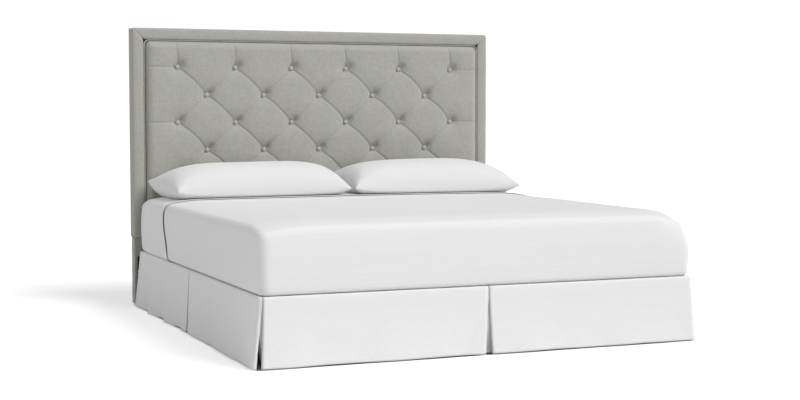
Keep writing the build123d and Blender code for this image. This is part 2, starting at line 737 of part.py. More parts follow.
def skirt_deck():
    """The plain sheet between mattress and box springs that the drops are sewn to."""
    half_width = SKIRT_TOP_HALF_WIDTH - SKIRT_CLOTH
    foot_y = SKIRT_TOP_FOOT_Y + SKIRT_CLOTH
    return block((-half_width, half_width), (foot_y, SKIRT_HEAD_Y), (SKIRT_TOP - SKIRT_DECK, SKIRT_TOP))


def skirt_panels_side(side):
    """Two drops, one each side of the middle pleat."""
    foot_end = SKIRT_TOP_FOOT_Y + SKIRT_CLOTH + 1
    spans = [(foot_end, SIDE_PLEAT_Y - PLEAT_SLIT / 2), (SIDE_PLEAT_Y + PLEAT_SLIT / 2, SKIRT_HEAD_Y)]
    return group([mirrored(side_drop(span, 0, SKIRT_CLOTH, SKIRT_TOP), side) for span in spans])


def skirt_panels_foot():
    end = SKIRT_TOP_HALF_WIDTH - SKIRT_CLOTH - 0.5
    spans = [(-end, -PLEAT_SLIT / 2), (PLEAT_SLIT / 2, end)]
    return group([foot_drop(span, 0, SKIRT_CLOTH, SKIRT_TOP) for span in spans])


def corner_insert():
    """The folded cloth behind the slit at the right foot corner."""
    top_z = SKIRT_TOP - SKIRT_DECK
    sections = []
    for z in (HEM_Z, top_z):
        outer_x = skirt_side_x(z) - SKIRT_CLOTH
        outer_y = skirt_foot_y(z) + SKIRT_CLOTH
        corners = [
            (outer_x, outer_y),
            (outer_x, outer_y + PLEAT_CORNER_LEG),
            (outer_x - PLEAT_CLOTH, outer_y + PLEAT_CORNER_LEG),
            (outer_x - PLEAT_CLOTH, outer_y + PLEAT_CLOTH),
            (outer_x - PLEAT_CORNER_LEG, outer_y + PLEAT_CLOTH),
            (outer_x - PLEAT_CORNER_LEG, outer_y),
        ]
        sections.append(make_face(Polyline(*[(x, y, z) for x, y in corners], close=True)))
    return loft(sections, ruled=True)


def skirt_pleat_inserts():
    half = PLEAT_INSERT_WIDTH / 2
    top_z = SKIRT_TOP - SKIRT_DECK
    middle_side = side_drop((SIDE_PLEAT_Y - half, SIDE_PLEAT_Y + half), SKIRT_CLOTH, PLEAT_CLOTH, top_z)
    inserts = [foot_drop((-half, half), SKIRT_CLOTH, PLEAT_CLOTH, top_z)]
    for side in SIDES.values():
        inserts.append(mirrored(middle_side, side))
        inserts.append(mirrored(corner_insert(), side))
    return group(inserts)


# ---------------------------------------------------------------- mattress and sheets


def mattress_block(offset):
    """The mattress's rounded outer shape, made larger by offset except underneath."""
    half_width = MATTRESS_WIDTH / 2 + offset
    body = block(
        (-half_width, half_width),
        (MATTRESS_FOOT_Y - offset, MATTRESS_HEAD_Y + offset),
        (MATTRESS_BOTTOM, MATTRESS_BOTTOM + MATTRESS_THICKNESS + offset),
    )
    body = fillet(body.edges().filter_by(Axis.Z), MATTRESS_CORNER + offset)
    body = fillet(body.faces().sort_by(Axis.Z)[-1].edges(), MATTRESS_TOP_EDGE + offset)
    return fillet(body.faces().sort_by(Axis.Z)[0].edges(), MATTRESS_BOTTOM_EDGE + offset)


def mattress_inner():
    """The space inside the quilted cover."""
    body = block(
        (-MATTRESS_WIDTH / 2 + QUILT, MATTRESS_WIDTH / 2 - QUILT),
        (MATTRESS_FOOT_Y + QUILT, MATTRESS_HEAD_Y - QUILT),
        (MATTRESS_BOTTOM + QUILT, MATTRESS_BOTTOM + MATTRESS_THICKNESS - QUILT),
    )
    body = fillet(body.edges().filter_by(Axis.Z), MATTRESS_CORNER - QUILT)
    body = fillet(body.faces().sort_by(Axis.Z)[-1].edges(), MATTRESS_TOP_EDGE - QUILT)
    return fillet(body.faces().sort_by(Axis.Z)[0].edges(), MATTRESS_BOTTOM_EDGE - QUILT)


def slab(low_z, high_z, low_y=-1200, high_y=1200):
    """A region larger than the mattress in plan, for cutting it at heights or lengths."""
    return block((-1200, 1200), (low_y, high_y), (low_z, high_z))


def comfort_bottom():
    return MATTRESS_BOTTOM + MATTRESS_THICKNESS - QUILT - COMFORT_LAYER


def mattress_base():
    return mattress_inner() & slab(0, comfort_bottom())


def mattress_comfort_layer():
    return mattress_inner() & slab(comfort_bottom(), HEADBOARD_TOP)


def mattress_cover():
    return mattress_block(0) - mattress_inner()


def fitted_sheet():
    shell = mattress_block(FITTED_SHEET) - mattress_block(0)
    return shell & slab(SHEET_BOTTOM_Z + MATTRESS_BOTTOM_EDGE, HEADBOARD_TOP)


def top_sheet():
    """Laid over the fitted sheet from the foot to just in front of the pillows."""
    shell = mattress_block(FITTED_SHEET + TOP_SHEET) - mattress_block(FITTED_SHEET)
    region = slab(SHEET_BOTTOM_Z + MATTRESS_BOTTOM_EDGE, HEADBOARD_TOP, high_y=TOP_SHEET_EDGE_Y)
    return shell & region


# ---------------------------------------------------------------- pillows


def pillow_block(inset):
    body = block(
        (PILLOW_CENTRE_X - PILLOW_WIDTH / 2 + inset, PILLOW_CENTRE_X + PILLOW_WIDTH / 2 - inset),
        (PILLOW_CENTRE_Y - PILLOW_DEPTH / 2 + inset, PILLOW_CENTRE_Y + PILLOW_DEPTH / 2 - inset),
        (PILLOW_BOTTOM + inset, PILLOW_BOTTOM + PILLOW_LOFT - inset),
    )
    body = fillet(body.edges().filter_by(Axis.Z), PILLOW_CORNER - inset)
    level_edges = body.faces().sort_by(Axis.Z)[-1].edges() + body.faces().sort_by(Axis.Z)[0].edges()
    return fillet(level_edges, PILLOW_EDGE - inset)


def pillow_insert(side):
    return mirrored(pillow_block(CASE_THICKNESS), side)


def pillowcase(side):
    return mirrored(pillow_block(0) - pillow_block(CASE_THICKNESS), side)


# ---------------------------------------------------------------- write one file for each node

os.makedirs("parts", exist_ok=True)

for side_name, side_sign in SIDES.items():
    save(f"headboard_stile_{side_name}", headboard_stile(side_sign))
    save(f"border_padding_{side_name}", border_padding_side(side_sign))
    save(f"border_cover_{side_name}", border_cover_side(side_sign))
    save(f"headboard_leg_{side_name}", headboard_leg(side_sign))
    save(f"side_rail_{side_name}", side_rail(side_sign))
    save(f"headboard_bracket_{side_name}", headboard_bracket(side_sign))
    save(f"box_spring_cover_{side_name}", box_spring_cover(side_sign))
    save(f"box_spring_frame_{side_name}", box_spring_frame(side_sign))
    save(f"box_spring_grid_{side_name}", box_spring_grid(side_sign))
    save(f"skirt_panels_{side_name}", skirt_panels_side(side_sign))
    save(f"pillow_insert_{side_name}", pillow_insert(side_sign))
    save(f"pillowcase_{side_name}", pillowcase(side_sign))

for place, rail_y in CROSS_RAIL_Y.items():
    save(f"cross_rail_{place}", cross_rail(rail_y))
    save(f"levelling_foot_{place}", levelling_foot(rail_y))

save("headboard_top_rail", headboard_top_rail())
save("headboard_bottom_rail", headboard_bottom_rail())
save("headboard_studs", headboard_studs())
save("tufting_board", tufting_board())
save("panel_foam", panel_foam())
save("tufted_panel_cover", tufted_panel_cover())
save("tufting_buttons", tufting_buttons())
save("button_twine", button_twine())
save("twine_anchors", twine_anchors())
save("panel_welt", panel_welt())
save("border_padding_top", border_padding_top())
save("border_cover_top", border_cover_top())
save("border_cover_bottom", border_cover_bottom())
save("headboard_back_cover", headboard_back_cover())
save("headboard_leg_covers", headboard_leg_covers())
save("headboard_leg_glides", headboard_leg_glides())
save("headboard_bolts", headboard_bolts())
save("centre_rail", centre_rail())
save("frame_rivets", frame_rivets())
save("corner_legs", corner_legs())
save("corner_leg_glides", corner_leg_glides())
save("centre_legs", centre_legs())
save("skirt_deck", skirt_deck())
save("skirt_panels_foot", skirt_panels_foot())
save("skirt_pleat_inserts", skirt_pleat_inserts())
save("mattress_base", mattress_base())
save("mattress_comfort_layer", mattress_comfort_layer())
save("mattress_cover", mattress_cover())
save("fitted_sheet", fitted_sheet())
save("top_sheet", top_sheet())
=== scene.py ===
import math

import bmesh
import bpy
import numpy as np
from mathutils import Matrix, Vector


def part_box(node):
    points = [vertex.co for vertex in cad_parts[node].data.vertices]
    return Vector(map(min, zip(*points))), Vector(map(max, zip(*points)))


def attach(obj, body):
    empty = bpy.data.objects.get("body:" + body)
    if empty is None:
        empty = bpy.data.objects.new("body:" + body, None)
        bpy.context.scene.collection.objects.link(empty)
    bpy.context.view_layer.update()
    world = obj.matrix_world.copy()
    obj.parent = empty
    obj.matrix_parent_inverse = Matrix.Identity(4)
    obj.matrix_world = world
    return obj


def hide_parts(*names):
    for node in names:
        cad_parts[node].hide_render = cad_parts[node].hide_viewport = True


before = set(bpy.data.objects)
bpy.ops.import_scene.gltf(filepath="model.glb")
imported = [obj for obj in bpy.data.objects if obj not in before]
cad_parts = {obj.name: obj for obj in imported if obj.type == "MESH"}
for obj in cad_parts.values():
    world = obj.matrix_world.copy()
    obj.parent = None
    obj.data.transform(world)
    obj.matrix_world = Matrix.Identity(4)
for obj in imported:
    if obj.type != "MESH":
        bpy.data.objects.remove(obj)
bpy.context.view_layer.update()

# ------------------------------------------------------------------ floor, light and camera
# A seamless white floor and a white surround. A broad key light falls from the front right, with
# a weak one from overhead and one from the left, so the long left side is the shaded one.


def link(tree, source, target):
    tree.links.new(source, target)


def set_sockets(node, **values):
    """Sets constants on a node's own sockets; an underscore stands for a space in a socket's name."""
    for label, value in values.items():
        node.inputs[label.replace("_", " ")].default_value = value


def maths(tree, operation, first, second=0.0):
    """A Math node of two values, each a socket or a number."""
    node = tree.nodes.new("ShaderNodeMath")
    node.operation = operation
    for number, value in enumerate((first, second)):
        if hasattr(value, "links"):
            link(tree, value, node.inputs[number])
        else:
            node.inputs[number].default_value = value
    return node.outputs[0]


def new_material(name):
    """A material and its main shader, with the shader's tree ready for more nodes."""
    material = bpy.data.materials.new(name)
    material.use_nodes = True
    return material, material.node_tree, material.node_tree.nodes["Principled BSDF"]


def shade_smooth(mesh, smooth=True):
    mesh.polygons.foreach_set("use_smooth", [smooth] * len(mesh.polygons))


def mesh_object(name, points, faces, material, smooth=True):
    """A mesh piece from corner points and faces."""
    mesh = bpy.data.meshes.new(name)
    plain_points = [tuple(map(float, point)) for point in points]
    plain_faces = [tuple(map(int, face)) for face in faces]
    mesh.from_pydata(plain_points, [], plain_faces)
    mesh.update()
    shade_smooth(mesh, smooth)
    mesh.materials.append(material)
    piece = bpy.data.objects.new(name, mesh)
    bpy.context.collection.objects.link(piece)
    return piece


FLOOR_HALF = 30.0
FLOOR_WHITE = (0.86, 0.86, 0.86, 1)
PURE_WHITE = (1, 1, 1, 1)
FLOOR_GLOW = 0.42
PAINTED_SHADE_HALF_X = 0.975
PAINTED_SHADE_HALF_Y = 1.065
PAINTED_SHADE_BLUR = 0.012
SURROUND_LIGHT = 0.16
SURROUND_SEEN = 1.05

# The floor glows for the camera alone, and not under the bed, where the missing glow leaves a painted shade.
floor_white, floor_tree, floor_shader = new_material("floor_white")
set_sockets(floor_shader, Base_Color=FLOOR_WHITE, Roughness=0.9, Specular_IOR_Level=0.1)
set_sockets(floor_shader, Emission_Color=PURE_WHITE)
floor_coords = floor_tree.nodes.new("ShaderNodeTexCoord")
floor_axes = floor_tree.nodes.new("ShaderNodeSeparateXYZ")
floor_path = floor_tree.nodes.new("ShaderNodeLightPath")
link(floor_tree, floor_coords.outputs["Object"], floor_axes.inputs[0])
outside_painted_shade = []
# Painted shade: the glow fades out over the bed's footprint, so the floor under the bed stays dark.
for axis, half in (("X", PAINTED_SHADE_HALF_X), ("Y", PAINTED_SHADE_HALF_Y)):
    past = floor_tree.nodes.new("ShaderNodeMapRange")
    set_sockets(past, From_Min=half, From_Max=half + PAINTED_SHADE_BLUR)
    link(floor_tree, maths(floor_tree, "ABSOLUTE", floor_axes.outputs[axis]), past.inputs["Value"])
    outside_painted_shade.append(past.outputs["Result"])
glow = maths(floor_tree, "MULTIPLY", maths(floor_tree, "MAXIMUM", *outside_painted_shade), FLOOR_GLOW)
seen = maths(floor_tree, "MULTIPLY", floor_path.outputs["Is Camera Ray"], glow)
link(floor_tree, seen, floor_shader.inputs["Emission Strength"])
floor_corners = [(x * FLOOR_HALF, y * FLOOR_HALF, 0) for x, y in ((-1, -1), (1, -1), (1, 1), (-1, 1))]
floor = mesh_object("studio_floor", floor_corners, [(0, 1, 2, 3)], floor_white, smooth=False)

surround = bpy.data.worlds.new("studio_surround")
surround.use_nodes = True
sky_tree = surround.node_tree
dim = sky_tree.nodes["Background"]
bright = sky_tree.nodes.new("ShaderNodeBackground")
light_path = sky_tree.nodes.new("ShaderNodeLightPath")
choose = sky_tree.nodes.new("ShaderNodeMixShader")
set_sockets(dim, Color=PURE_WHITE, Strength=SURROUND_LIGHT)
set_sockets(bright, Color=PURE_WHITE, Strength=SURROUND_SEEN)
link(sky_tree, light_path.outputs["Is Camera Ray"], choose.inputs["Fac"])
link(sky_tree, dim.outputs[0], choose.inputs[1])
link(sky_tree, bright.outputs[0], choose.inputs[2])
link(sky_tree, choose.outputs[0], sky_tree.nodes["World Output"].inputs["Surface"])
bpy.context.scene.world = surround
bpy.context.scene.view_settings.view_transform = "Standard"


def far_light(name, towards, strength, spread):
    """A distant light; strength is the brightness it gives a white surface that faces it."""
    data = bpy.data.lights.new(name, "SUN")
    data.energy = math.pi * strength
    data.angle = math.radians(spread)
    lamp = bpy.data.objects.new(name, data)
    lamp.rotation_euler = Vector(towards).to_track_quat("-Z", "Y").to_euler()
    bpy.context.collection.objects.link(lamp)


far_light("key_light", towards=(-0.46, 0.56, -0.66), strength=0.79, spread=38)
far_light("top_light", towards=(0.0, 0.05, -1.0), strength=0.17, spread=70)
far_light("side_fill", towards=(0.86, -0.25, -0.44), strength=0.21, spread=60)

CAMERA_PLACE = (-2.6421, -6.4927, 0.9957)
CAMERA_YAW = 0.394
CAMERA_PITCH = 0.0604
CAMERA_LENS = 67.12
CAMERA_SENSOR = 36
camera_data = bpy.data.cameras.new("camera")
camera_data.lens = CAMERA_LENS
camera_data.sensor_width = CAMERA_SENSOR
camera = bpy.data.objects.new("camera", camera_data)
camera.location = CAMERA_PLACE
camera.rotation_euler = (math.pi / 2 - CAMERA_PITCH, 0, -CAMERA_YAW)
bpy.context.collection.objects.link(camera)
bpy.context.scene.camera = camera

# ------------------------------------------------------------------ headboard timber
# The stiles, rails, studs and leg cores are sawn softwood, glued and screwed. The grain runs
# along each member. The tufting board is birch-faced plywood.


def object_coords(tree, scale=(1, 1, 1)):
    """Object coordinates, stretched by a Mapping node."""
    coords = tree.nodes.new("ShaderNodeTexCoord")
    mapping = tree.nodes.new("ShaderNodeMapping")
    set_sockets(mapping, Scale=scale)
    link(tree, coords.outputs["Object"], mapping.inputs["Vector"])
    return mapping.outputs["Vector"]


def noise(tree, vector, scale=1.0, detail=2.0, roughness=0.5):
    """Cloudy noise from 0 to 1."""
    node = tree.nodes.new("ShaderNodeTexNoise")
    set_sockets(node, Scale=scale, Detail=detail, Roughness=roughness)
    link(tree, vector, node.inputs["Vector"])
    return node.outputs["Fac"]


def ramp(tree, factor, *stops):
    """A colour ramp from (position, colour) pairs; the first and last are the ends."""
    node = tree.nodes.new("ShaderNodeValToRGB")
    elements = node.color_ramp.elements
    while len(elements) < len(stops):
        elements.new(0.5)
    for element, (position, colour) in zip(elements, stops):
        element.position = position
        element.color = (*colour, 1)
    link(tree, factor, node.inputs["Fac"])
    return node.outputs["Color"]


def blend(tree, first, first_share, second, second_share):
    """The weighted sum of two values."""
    parts = maths(tree, "MULTIPLY", first, first_share), maths(tree, "MULTIPLY", second, second_share)
    return maths(tree, "ADD", *parts)


def shades(colour, dark, pale):
    """A darker and a paler version of a colour."""
    return [c * dark for c in colour], [c * pale for c in colour]


def bump(tree, target, height, distance, strength=1.0):
    """Small relief on a shader, or on another bump that lies over it; returns its own node."""
    node = tree.nodes.new("ShaderNodeBump")
    set_sockets(node, Strength=strength, Distance=distance)
    link(tree, height, node.inputs["Height"])
    link(tree, node.outputs["Normal"], target.inputs["Normal"])
    return node


def timber(name, pale, dark, along):
    """Sawn softwood whose grain runs along one axis: 0, 1 or 2."""
    material, tree, shader = new_material(name)
    layers = []
    for across, lengthwise, detail in ((34.0, 1.6, 6.0), (420.0, 14.0, 3.0)):
        stretch = [across, across, across]
        stretch[along] = lengthwise
        layers.append(noise(tree, object_coords(tree, stretch), 1.0, detail, 0.6))
    grain, fibres = layers
    both = blend(tree, grain, 0.7, fibres, 0.3)
    link(tree, ramp(tree, both, (0.35, dark), (0.52, pale), (0.7, dark)), shader.inputs["Base Color"])
    set_sockets(shader, Roughness=0.62, Specular_IOR_Level=0.3)
    bump(tree, shader, both, 0.0006)
    return material


def finish_cad(material, *nodes):
    """A CAD node whose shape is right keeps its mesh and gets a real finish."""
    for node in nodes:
        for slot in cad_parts[node].material_slots:
            slot.material = material


PINE_PALE = (0.62, 0.44, 0.24)
PINE_DARK = (0.42, 0.26, 0.12)
BIRCH_PALE = (0.70, 0.56, 0.36)
BIRCH_DARK = (0.56, 0.42, 0.25)
ALONG_X = 0
ALONG_Z = 2
finish_cad(
    timber("pine_upright", PINE_PALE, PINE_DARK, ALONG_Z), "headboard_stile_left", "headboard_stile_right",
    "headboard_studs", "headboard_leg_left", "headboard_leg_right",
)
pine_level = timber("pine_level", PINE_PALE, PINE_DARK, ALONG_X)
finish_cad(pine_level, "headboard_top_rail", "headboard_bottom_rail")
finish_cad(timber("birch_plywood", BIRCH_PALE, BIRCH_DARK, ALONG_X), "tufting_board")

# ------------------------------------------------------------------ twine and anchors
# Waxed twine passes from each button through foam and board, and is tied to a plastic anchor
# behind the board.


def moulded_plastic(name, colour, roughness):
    """Satin moulded plastic with a faint mould texture."""
    material, tree, shader = new_material(name)
    grit = noise(tree, object_coords(tree), 900.0, 2.0)
    dark, pale = shades(colour, 0.85, 1.15)
    link(tree, ramp(tree, grit, (0.3, dark), (0.7, pale)), shader.inputs["Base Color"])
    set_sockets(shader, Roughness=roughness)
    bump(tree, shader, grit, 0.0001, 0.6)
    return material


def twine_fibre(name, colour):
    """Waxed twine whose strands run along its length, front to back."""
    material, tree, shader = new_material(name)
    strands = noise(tree, object_coords(tree, (2600, 300, 2600)), 1.0, 3.0)
    dark, pale = shades(colour, 0.6, 1)
    link(tree, ramp(tree, strands, (0.35, dark), (0.65, pale)), shader.inputs["Base Color"])
    set_sockets(shader, Roughness=0.7)
    bump(tree, shader, strands, 0.0003)
    return material


finish_cad(twine_fibre("waxed_twine", (0.72, 0.66, 0.52)), "button_twine")
black_plastic = moulded_plastic("black_plastic", (0.03, 0.03, 0.032), 0.45)
finish_cad(black_plastic, "twine_anchors", "headboard_leg_glides", "corner_leg_glides")

# ------------------------------------------------------------------ tufted panel
# Thick foam on the tufting board under one stretched cover. Each button pulls a deep dimple, and
# the slack is folded into shallow pleats that run from button to button and out to the edges.


def bands(tree, vector, axis, **sizes):
    """Even bands across one axis, for threads and woven stripes."""
    node = tree.nodes.new("ShaderNodeTexWave")
    node.bands_direction = axis
    set_sockets(node, **sizes)
    link(tree, vector, node.inputs["Vector"])
    return node.outputs["Fac"]


def linen(name, colour, contrast=0.15):
    """Grey linen-look upholstery: crossed slubby threads over a plain weave."""
    material, tree, shader = new_material(name)
    slub_ways = ((34, 240, 240), (240, 240, 34))
    slubs = [noise(tree, object_coords(tree, way), 1.0, 3.0, 0.7) for way in slub_ways]
    thread = {"Scale": 190.0, "Distortion": 1.2, "Detail": 1.0, "Detail_Scale": 2.0}
    threads = [bands(tree, object_coords(tree), axis, **thread) for axis in ("X", "Z")]
    all_slubs = maths(tree, "MULTIPLY", maths(tree, "ADD", *slubs), 0.5)
    weave = maths(tree, "MULTIPLY", maths(tree, "ADD", *threads), 0.5)
    mixed = blend(tree, all_slubs, 0.8, weave, 0.2)
    dark, pale = shades(colour, 1 - contrast, 1 + contrast)
    link(tree, ramp(tree, mixed, (0.36, dark), (0.64, pale)), shader.inputs["Base Color"])
    set_sockets(shader, Roughness=0.92, Specular_IOR_Level=0.15, Sheen_Weight=0.12, Sheen_Roughness=0.5)
    bump(tree, shader, mixed, 0.0008, 0.8)
    return material


def smooth_step(low, high, value):
    """Rises from 0 to 1 between low and high, level at both ends."""
    t = np.clip((value - low) / (high - low), 0, 1)
    return t * t * (3 - 2 * t)


def grid_faces(columns, rows):
    """Quads over a grid of points numbered column by column."""
    faces = []
    for column in range(columns - 1):
        for row in range(rows - 1):
            corner = column * rows + row
            faces.append((corner, corner + rows, corner + rows + 1, corner + 1))
    return faces


def ring_walls(upper, lower):
    """Quads between two closed rings of point numbers."""
    faces = []
    for number in range(len(upper)):
        after = (number + 1) % len(upper)
        faces.append((upper[number], lower[number], lower[after], upper[after]))
    return faces


def segment_distance(x, z, ends):
    """Distance of every point from the nearest of several straight lines in the panel's plane."""
    nearest = np.full(x.shape, FAR)
    for x0, z0, x1, z1 in ends:
        run_x, run_z = x1 - x0, z1 - z0
        along = np.clip(((x - x0) * run_x + (z - z0) * run_z) / (run_x**2 + run_z**2), 0, 1)
        nearest = np.minimum(nearest, np.hypot(x - x0 - along * run_x, z - z0 - along * run_z))
    return nearest


HEADBOARD_LINEN = (0.415, 0.410, 0.383)
linen_grey = linen("linen_grey", HEADBOARD_LINEN)

button_low, button_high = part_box("tufting_buttons")
BUTTON_ROWS = 5
BUTTONS_IN_TOP_ROW = 6
BUTTON_RADIUS = 0.0125
LAST_ROW = BUTTON_ROWS - 1
END_COLUMN = BUTTONS_IN_TOP_ROW - 1
HALF_PITCH_X = (button_high[0] - button_low[0] - 2 * BUTTON_RADIUS) / (2 * END_COLUMN)
HALF_PITCH_Z = (button_high[2] - button_low[2] - 2 * BUTTON_RADIUS) / LAST_ROW
TOP_ROW_Z = button_high[2] - BUTTON_RADIUS
CELLS = 32
FAR = 9.0
PLEAT_DEPTH = 0.0052
PLEAT_HALF_WIDTH = 0.0033
FAINT_PLEAT = 0.72
EDGE_PLEAT = 0.7
VALLEY_DEPTH = 0.0070
VALLEY_REACH = 0.100
VALLEY_END_REACH = 0.045
BUTTON_SEAT = 0.010
DIMPLE_DEPTH = 0.0175
DIMPLE_REACH = 0.033
PINCH_DEPTH = 0.011
PINCH_REACH = 0.017
PINCH_PLACE = (0.016, 0.012)
PLEAT_BOW = 0.0095
BOW_WAY = (0.68, 0.73)
TOP_PLEAT_LEAN = 0.013
PANEL_CROWN = 0.0015
CROWN_REACH = 0.10
CALM_REACH = 0.05
RIPPLE = 0.0005
CORNER_RADIUS = 0.030
ROLL_RADIUS = 0.040
FLANGE_OUT = 0.0078
FLANGE_BACK = 0.045
FLANGE_THICK = 0.003

button_points = []
for row in range(BUTTON_ROWS):
    row_count = BUTTONS_IN_TOP_ROW - row % 2
    for column in range(row_count):
        button_points.append(((2 * column - row_count + 1) * HALF_PITCH_X, TOP_ROW_Z - row * HALF_PITCH_Z))

panel_low, panel_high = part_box("tufted_panel_cover")


def pleat_lines():
    """The falling diagonals, the rising diagonals, and the straight pleats out to the edges."""
    falling, rising, outer = [], [], []
    places = {}
    for x, z in button_points:
        places[round(x / HALF_PITCH_X), round((TOP_ROW_Z - z) / HALF_PITCH_Z)] = (x, z)
    for (i, k), (x, z) in places.items():
        if (i + 1, k + 1) in places:
            falling.append((x, z, *places[i + 1, k + 1]))
        if (i - 1, k + 1) in places:
            rising.append((x, z, *places[i - 1, k + 1]))
        if k == 0:
            outer.append((x, z, x, panel_high[2]))
        if k == LAST_ROW:
            outer.append((x, z, x, panel_low[2]))
        if abs(i) == END_COLUMN:
            outer.append((x, z, math.copysign(panel_high[0], i), z))
    return falling, rising, outer


def panel_axis(low, high, zero, step):
    """Positions on a grid that passes through zero, with the two ends added."""
    first = math.ceil((low - zero) / step + 0.3)
    last = math.floor((high - zero) / step - 0.3)
    return np.array([low, *(zero + step * np.arange(first, last + 1)), high])


def build_tufted_panel():
    """The cover's front, its rolled edge and a flat back, as one closed skin round the foam."""
    half_width = panel_high[0]
    centre_z = (panel_low[2] + panel_high[2]) / 2
    half_height = (panel_high[2] - panel_low[2]) / 2
    across = panel_axis(-half_width, half_width, 0.0, HALF_PITCH_X / CELLS)
    upward = panel_axis(panel_low[2], panel_high[2], TOP_ROW_Z, HALF_PITCH_Z / CELLS)
    x, z = np.meshgrid(across, upward, indexing="ij")

    falling, rising, outer = pleat_lines()
    to_falling = segment_distance(x, z, falling)
    to_rising = segment_distance(x, z, rising)
    to_outer = segment_distance(x, z, outer)
    to_button = np.full(x.shape, FAR)
    to_pinch = np.full(x.shape, FAR)
    for button_x, button_z in button_points:
        to_button = np.minimum(to_button, np.hypot(x - button_x, z - button_z))
        pinch = np.hypot(x - button_x - PINCH_PLACE[0], z - button_z - PINCH_PLACE[1])
        to_pinch = np.minimum(to_pinch, pinch)
    nearest = np.minimum(np.minimum(to_falling, to_rising), to_outer)

    # Broad valleys along the pleats, narrow folds in them, and a deep seat under each button.
    valley = VALLEY_DEPTH * (0.45 + 0.55 * np.exp(-to_button / VALLEY_END_REACH))
    depth = valley * np.clip(1 - nearest / VALLEY_REACH, 0, 1) ** 2.6
    for distance, strength in ((to_falling, 1.0), (to_rising, FAINT_PLEAT)):
        depth += strength * PLEAT_DEPTH * np.exp(-((distance / PLEAT_HALF_WIDTH) ** 2))
    depth += DIMPLE_DEPTH * np.exp(-np.clip(to_button - BUTTON_SEAT, 0, None) / DIMPLE_REACH)
    depth += PINCH_DEPTH * np.exp(-((to_pinch / PINCH_REACH) ** 2))
    edge_pleats = EDGE_PLEAT * PLEAT_DEPTH * np.exp(-((to_outer / PLEAT_HALF_WIDTH) ** 2))

    # The outline has round corners, so the square grid's corners are drawn in to an arc.
    inner_x, inner_z = half_width - CORNER_RADIUS, half_height - CORNER_RADIUS
    over_x = np.clip(np.abs(x) - inner_x, 0, None)
    over_z = np.clip(np.abs(z - centre_z) - inner_z, 0, None)
    reach = np.hypot(over_x, over_z)
    shrink = np.where(reach > 0, np.maximum(over_x, over_z) / np.maximum(reach, 1e-9), 1.0)
    in_corner = (over_x > 0) & (over_z > 0)
    round_x = np.where(in_corner, np.sign(x) * (inner_x + over_x * shrink), x)
    round_z = np.where(in_corner, centre_z + np.sign(z - centre_z) * (inner_z + over_z * shrink), z)

    # Rolled edge: depth grows to the roll's radius at the outline.
    from_edge = np.minimum(half_width - np.abs(round_x), half_height - np.abs(round_z - centre_z))
    corner_edge = CORNER_RADIUS - np.hypot(over_x * shrink, over_z * shrink)
    from_edge = np.clip(np.where(in_corner, corner_edge, from_edge), 0, None)
    into_roll = np.clip(1 - from_edge / ROLL_RADIUS, 0, 1)
    roll = ROLL_RADIUS * (1 - np.sqrt(np.clip(1 - into_roll**2, 0, 1)))
    calm = smooth_step(0.0, CALM_REACH, from_edge)
    depth = depth * (0.25 + 0.75 * calm) + roll + edge_pleats
    swell = PANEL_CROWN * smooth_step(0.0, CROWN_REACH, from_edge)

    # Pleats bow to the upper right between their two buttons, and those above the top row lean left.
    column, row = x / HALF_PITCH_X, (TOP_ROW_Z - z) / HALF_PITCH_Z
    along = np.abs(np.sin(math.pi * (row % 1.0)))
    inside = smooth_step(-0.6, 0.2, END_COLUMN - np.abs(column)) * smooth_step(-0.6, 0.2, row)
    inside *= smooth_step(-0.6, 0.2, LAST_ROW - row)
    uneven = 1 + 0.22 * np.sin(1.7 * x / 0.6 + 2.6 * z / 0.5)
    bow = PLEAT_BOW * along**0.85 * inside * uneven * calm
    round_x = round_x + bow * BOW_WAY[0]
    round_z = round_z + bow * BOW_WAY[1]
    above = np.clip(-row / 0.93, 0, 1) ** 1.8 * smooth_step(0.0, 0.15, half_width - np.abs(x))
    round_x = round_x - above * TOP_PLEAT_LEAN * (1 + 0.3 * np.sin(2.7 * x))

    ripple = RIPPLE * np.sin(41 * x + 2.3 * np.sin(17 * z)) * np.sin(37 * z + 1.7 * np.sin(23 * x)) * calm
    y = panel_low[1] - swell + depth + ripple
    front = np.stack([round_x, y, round_z], axis=-1).reshape(-1, 3)
    columns, rows = x.shape

    # Behind the rolled edge a flange fills the joint with the border, and the back is flat.
    ring = [c * rows for c in range(columns)]
    ring += [(columns - 1) * rows + r for r in range(1, rows)]
    ring += [c * rows + rows - 1 for c in range(columns - 2, -1, -1)]
    ring += list(range(rows - 2, 0, -1))
    points = [tuple(point) for point in front]
    faces = grid_faces(columns, rows)
    previous = ring
    flat_x, flat_z = x.ravel(), z.ravel()
    wider, taller = 1 + FLANGE_OUT / half_width, 1 + FLANGE_OUT / half_height
    flange = [(flat_x[i] * wider, centre_z + (flat_z[i] - centre_z) * taller) for i in ring]
    cover_edge = [(points[i][0], points[i][2]) for i in ring]
    flange_front = panel_low[1] + FLANGE_BACK
    flange_back = flange_front + FLANGE_THICK
    for back_y, outline in (
        (flange_front, cover_edge), (flange_front, flange), (flange_back, flange),
        (flange_back, cover_edge), (panel_high[1], cover_edge),
    ):
        current = list(range(len(points), len(points) + len(ring)))
        points += [(edge_x, back_y, edge_z) for edge_x, edge_z in outline]
        faces += ring_walls(previous, current)
        previous = current
    hub = len(points)
    points.append((0, panel_high[1], centre_z))
    for i in range(len(ring)):
        faces.append((previous[(i + 1) % len(ring)], previous[i], hub))
    return mesh_object("tufted_panel", points, faces, linen_grey)


def face_outwards(piece):
    """Recalculates the normals of a closed mesh, after doubles are merged."""
    work = bmesh.new()
    work.from_mesh(piece.data)
    bmesh.ops.remove_doubles(work, verts=work.verts, dist=1e-6)
    bmesh.ops.recalc_face_normals(work, faces=work.faces)
    work.to_mesh(piece.data)
    work.free()


tufted_panel = build_tufted_panel()
face_outwards(tufted_panel)
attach(tufted_panel, "bed_frame")
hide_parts("tufted_panel_cover", "panel_foam")
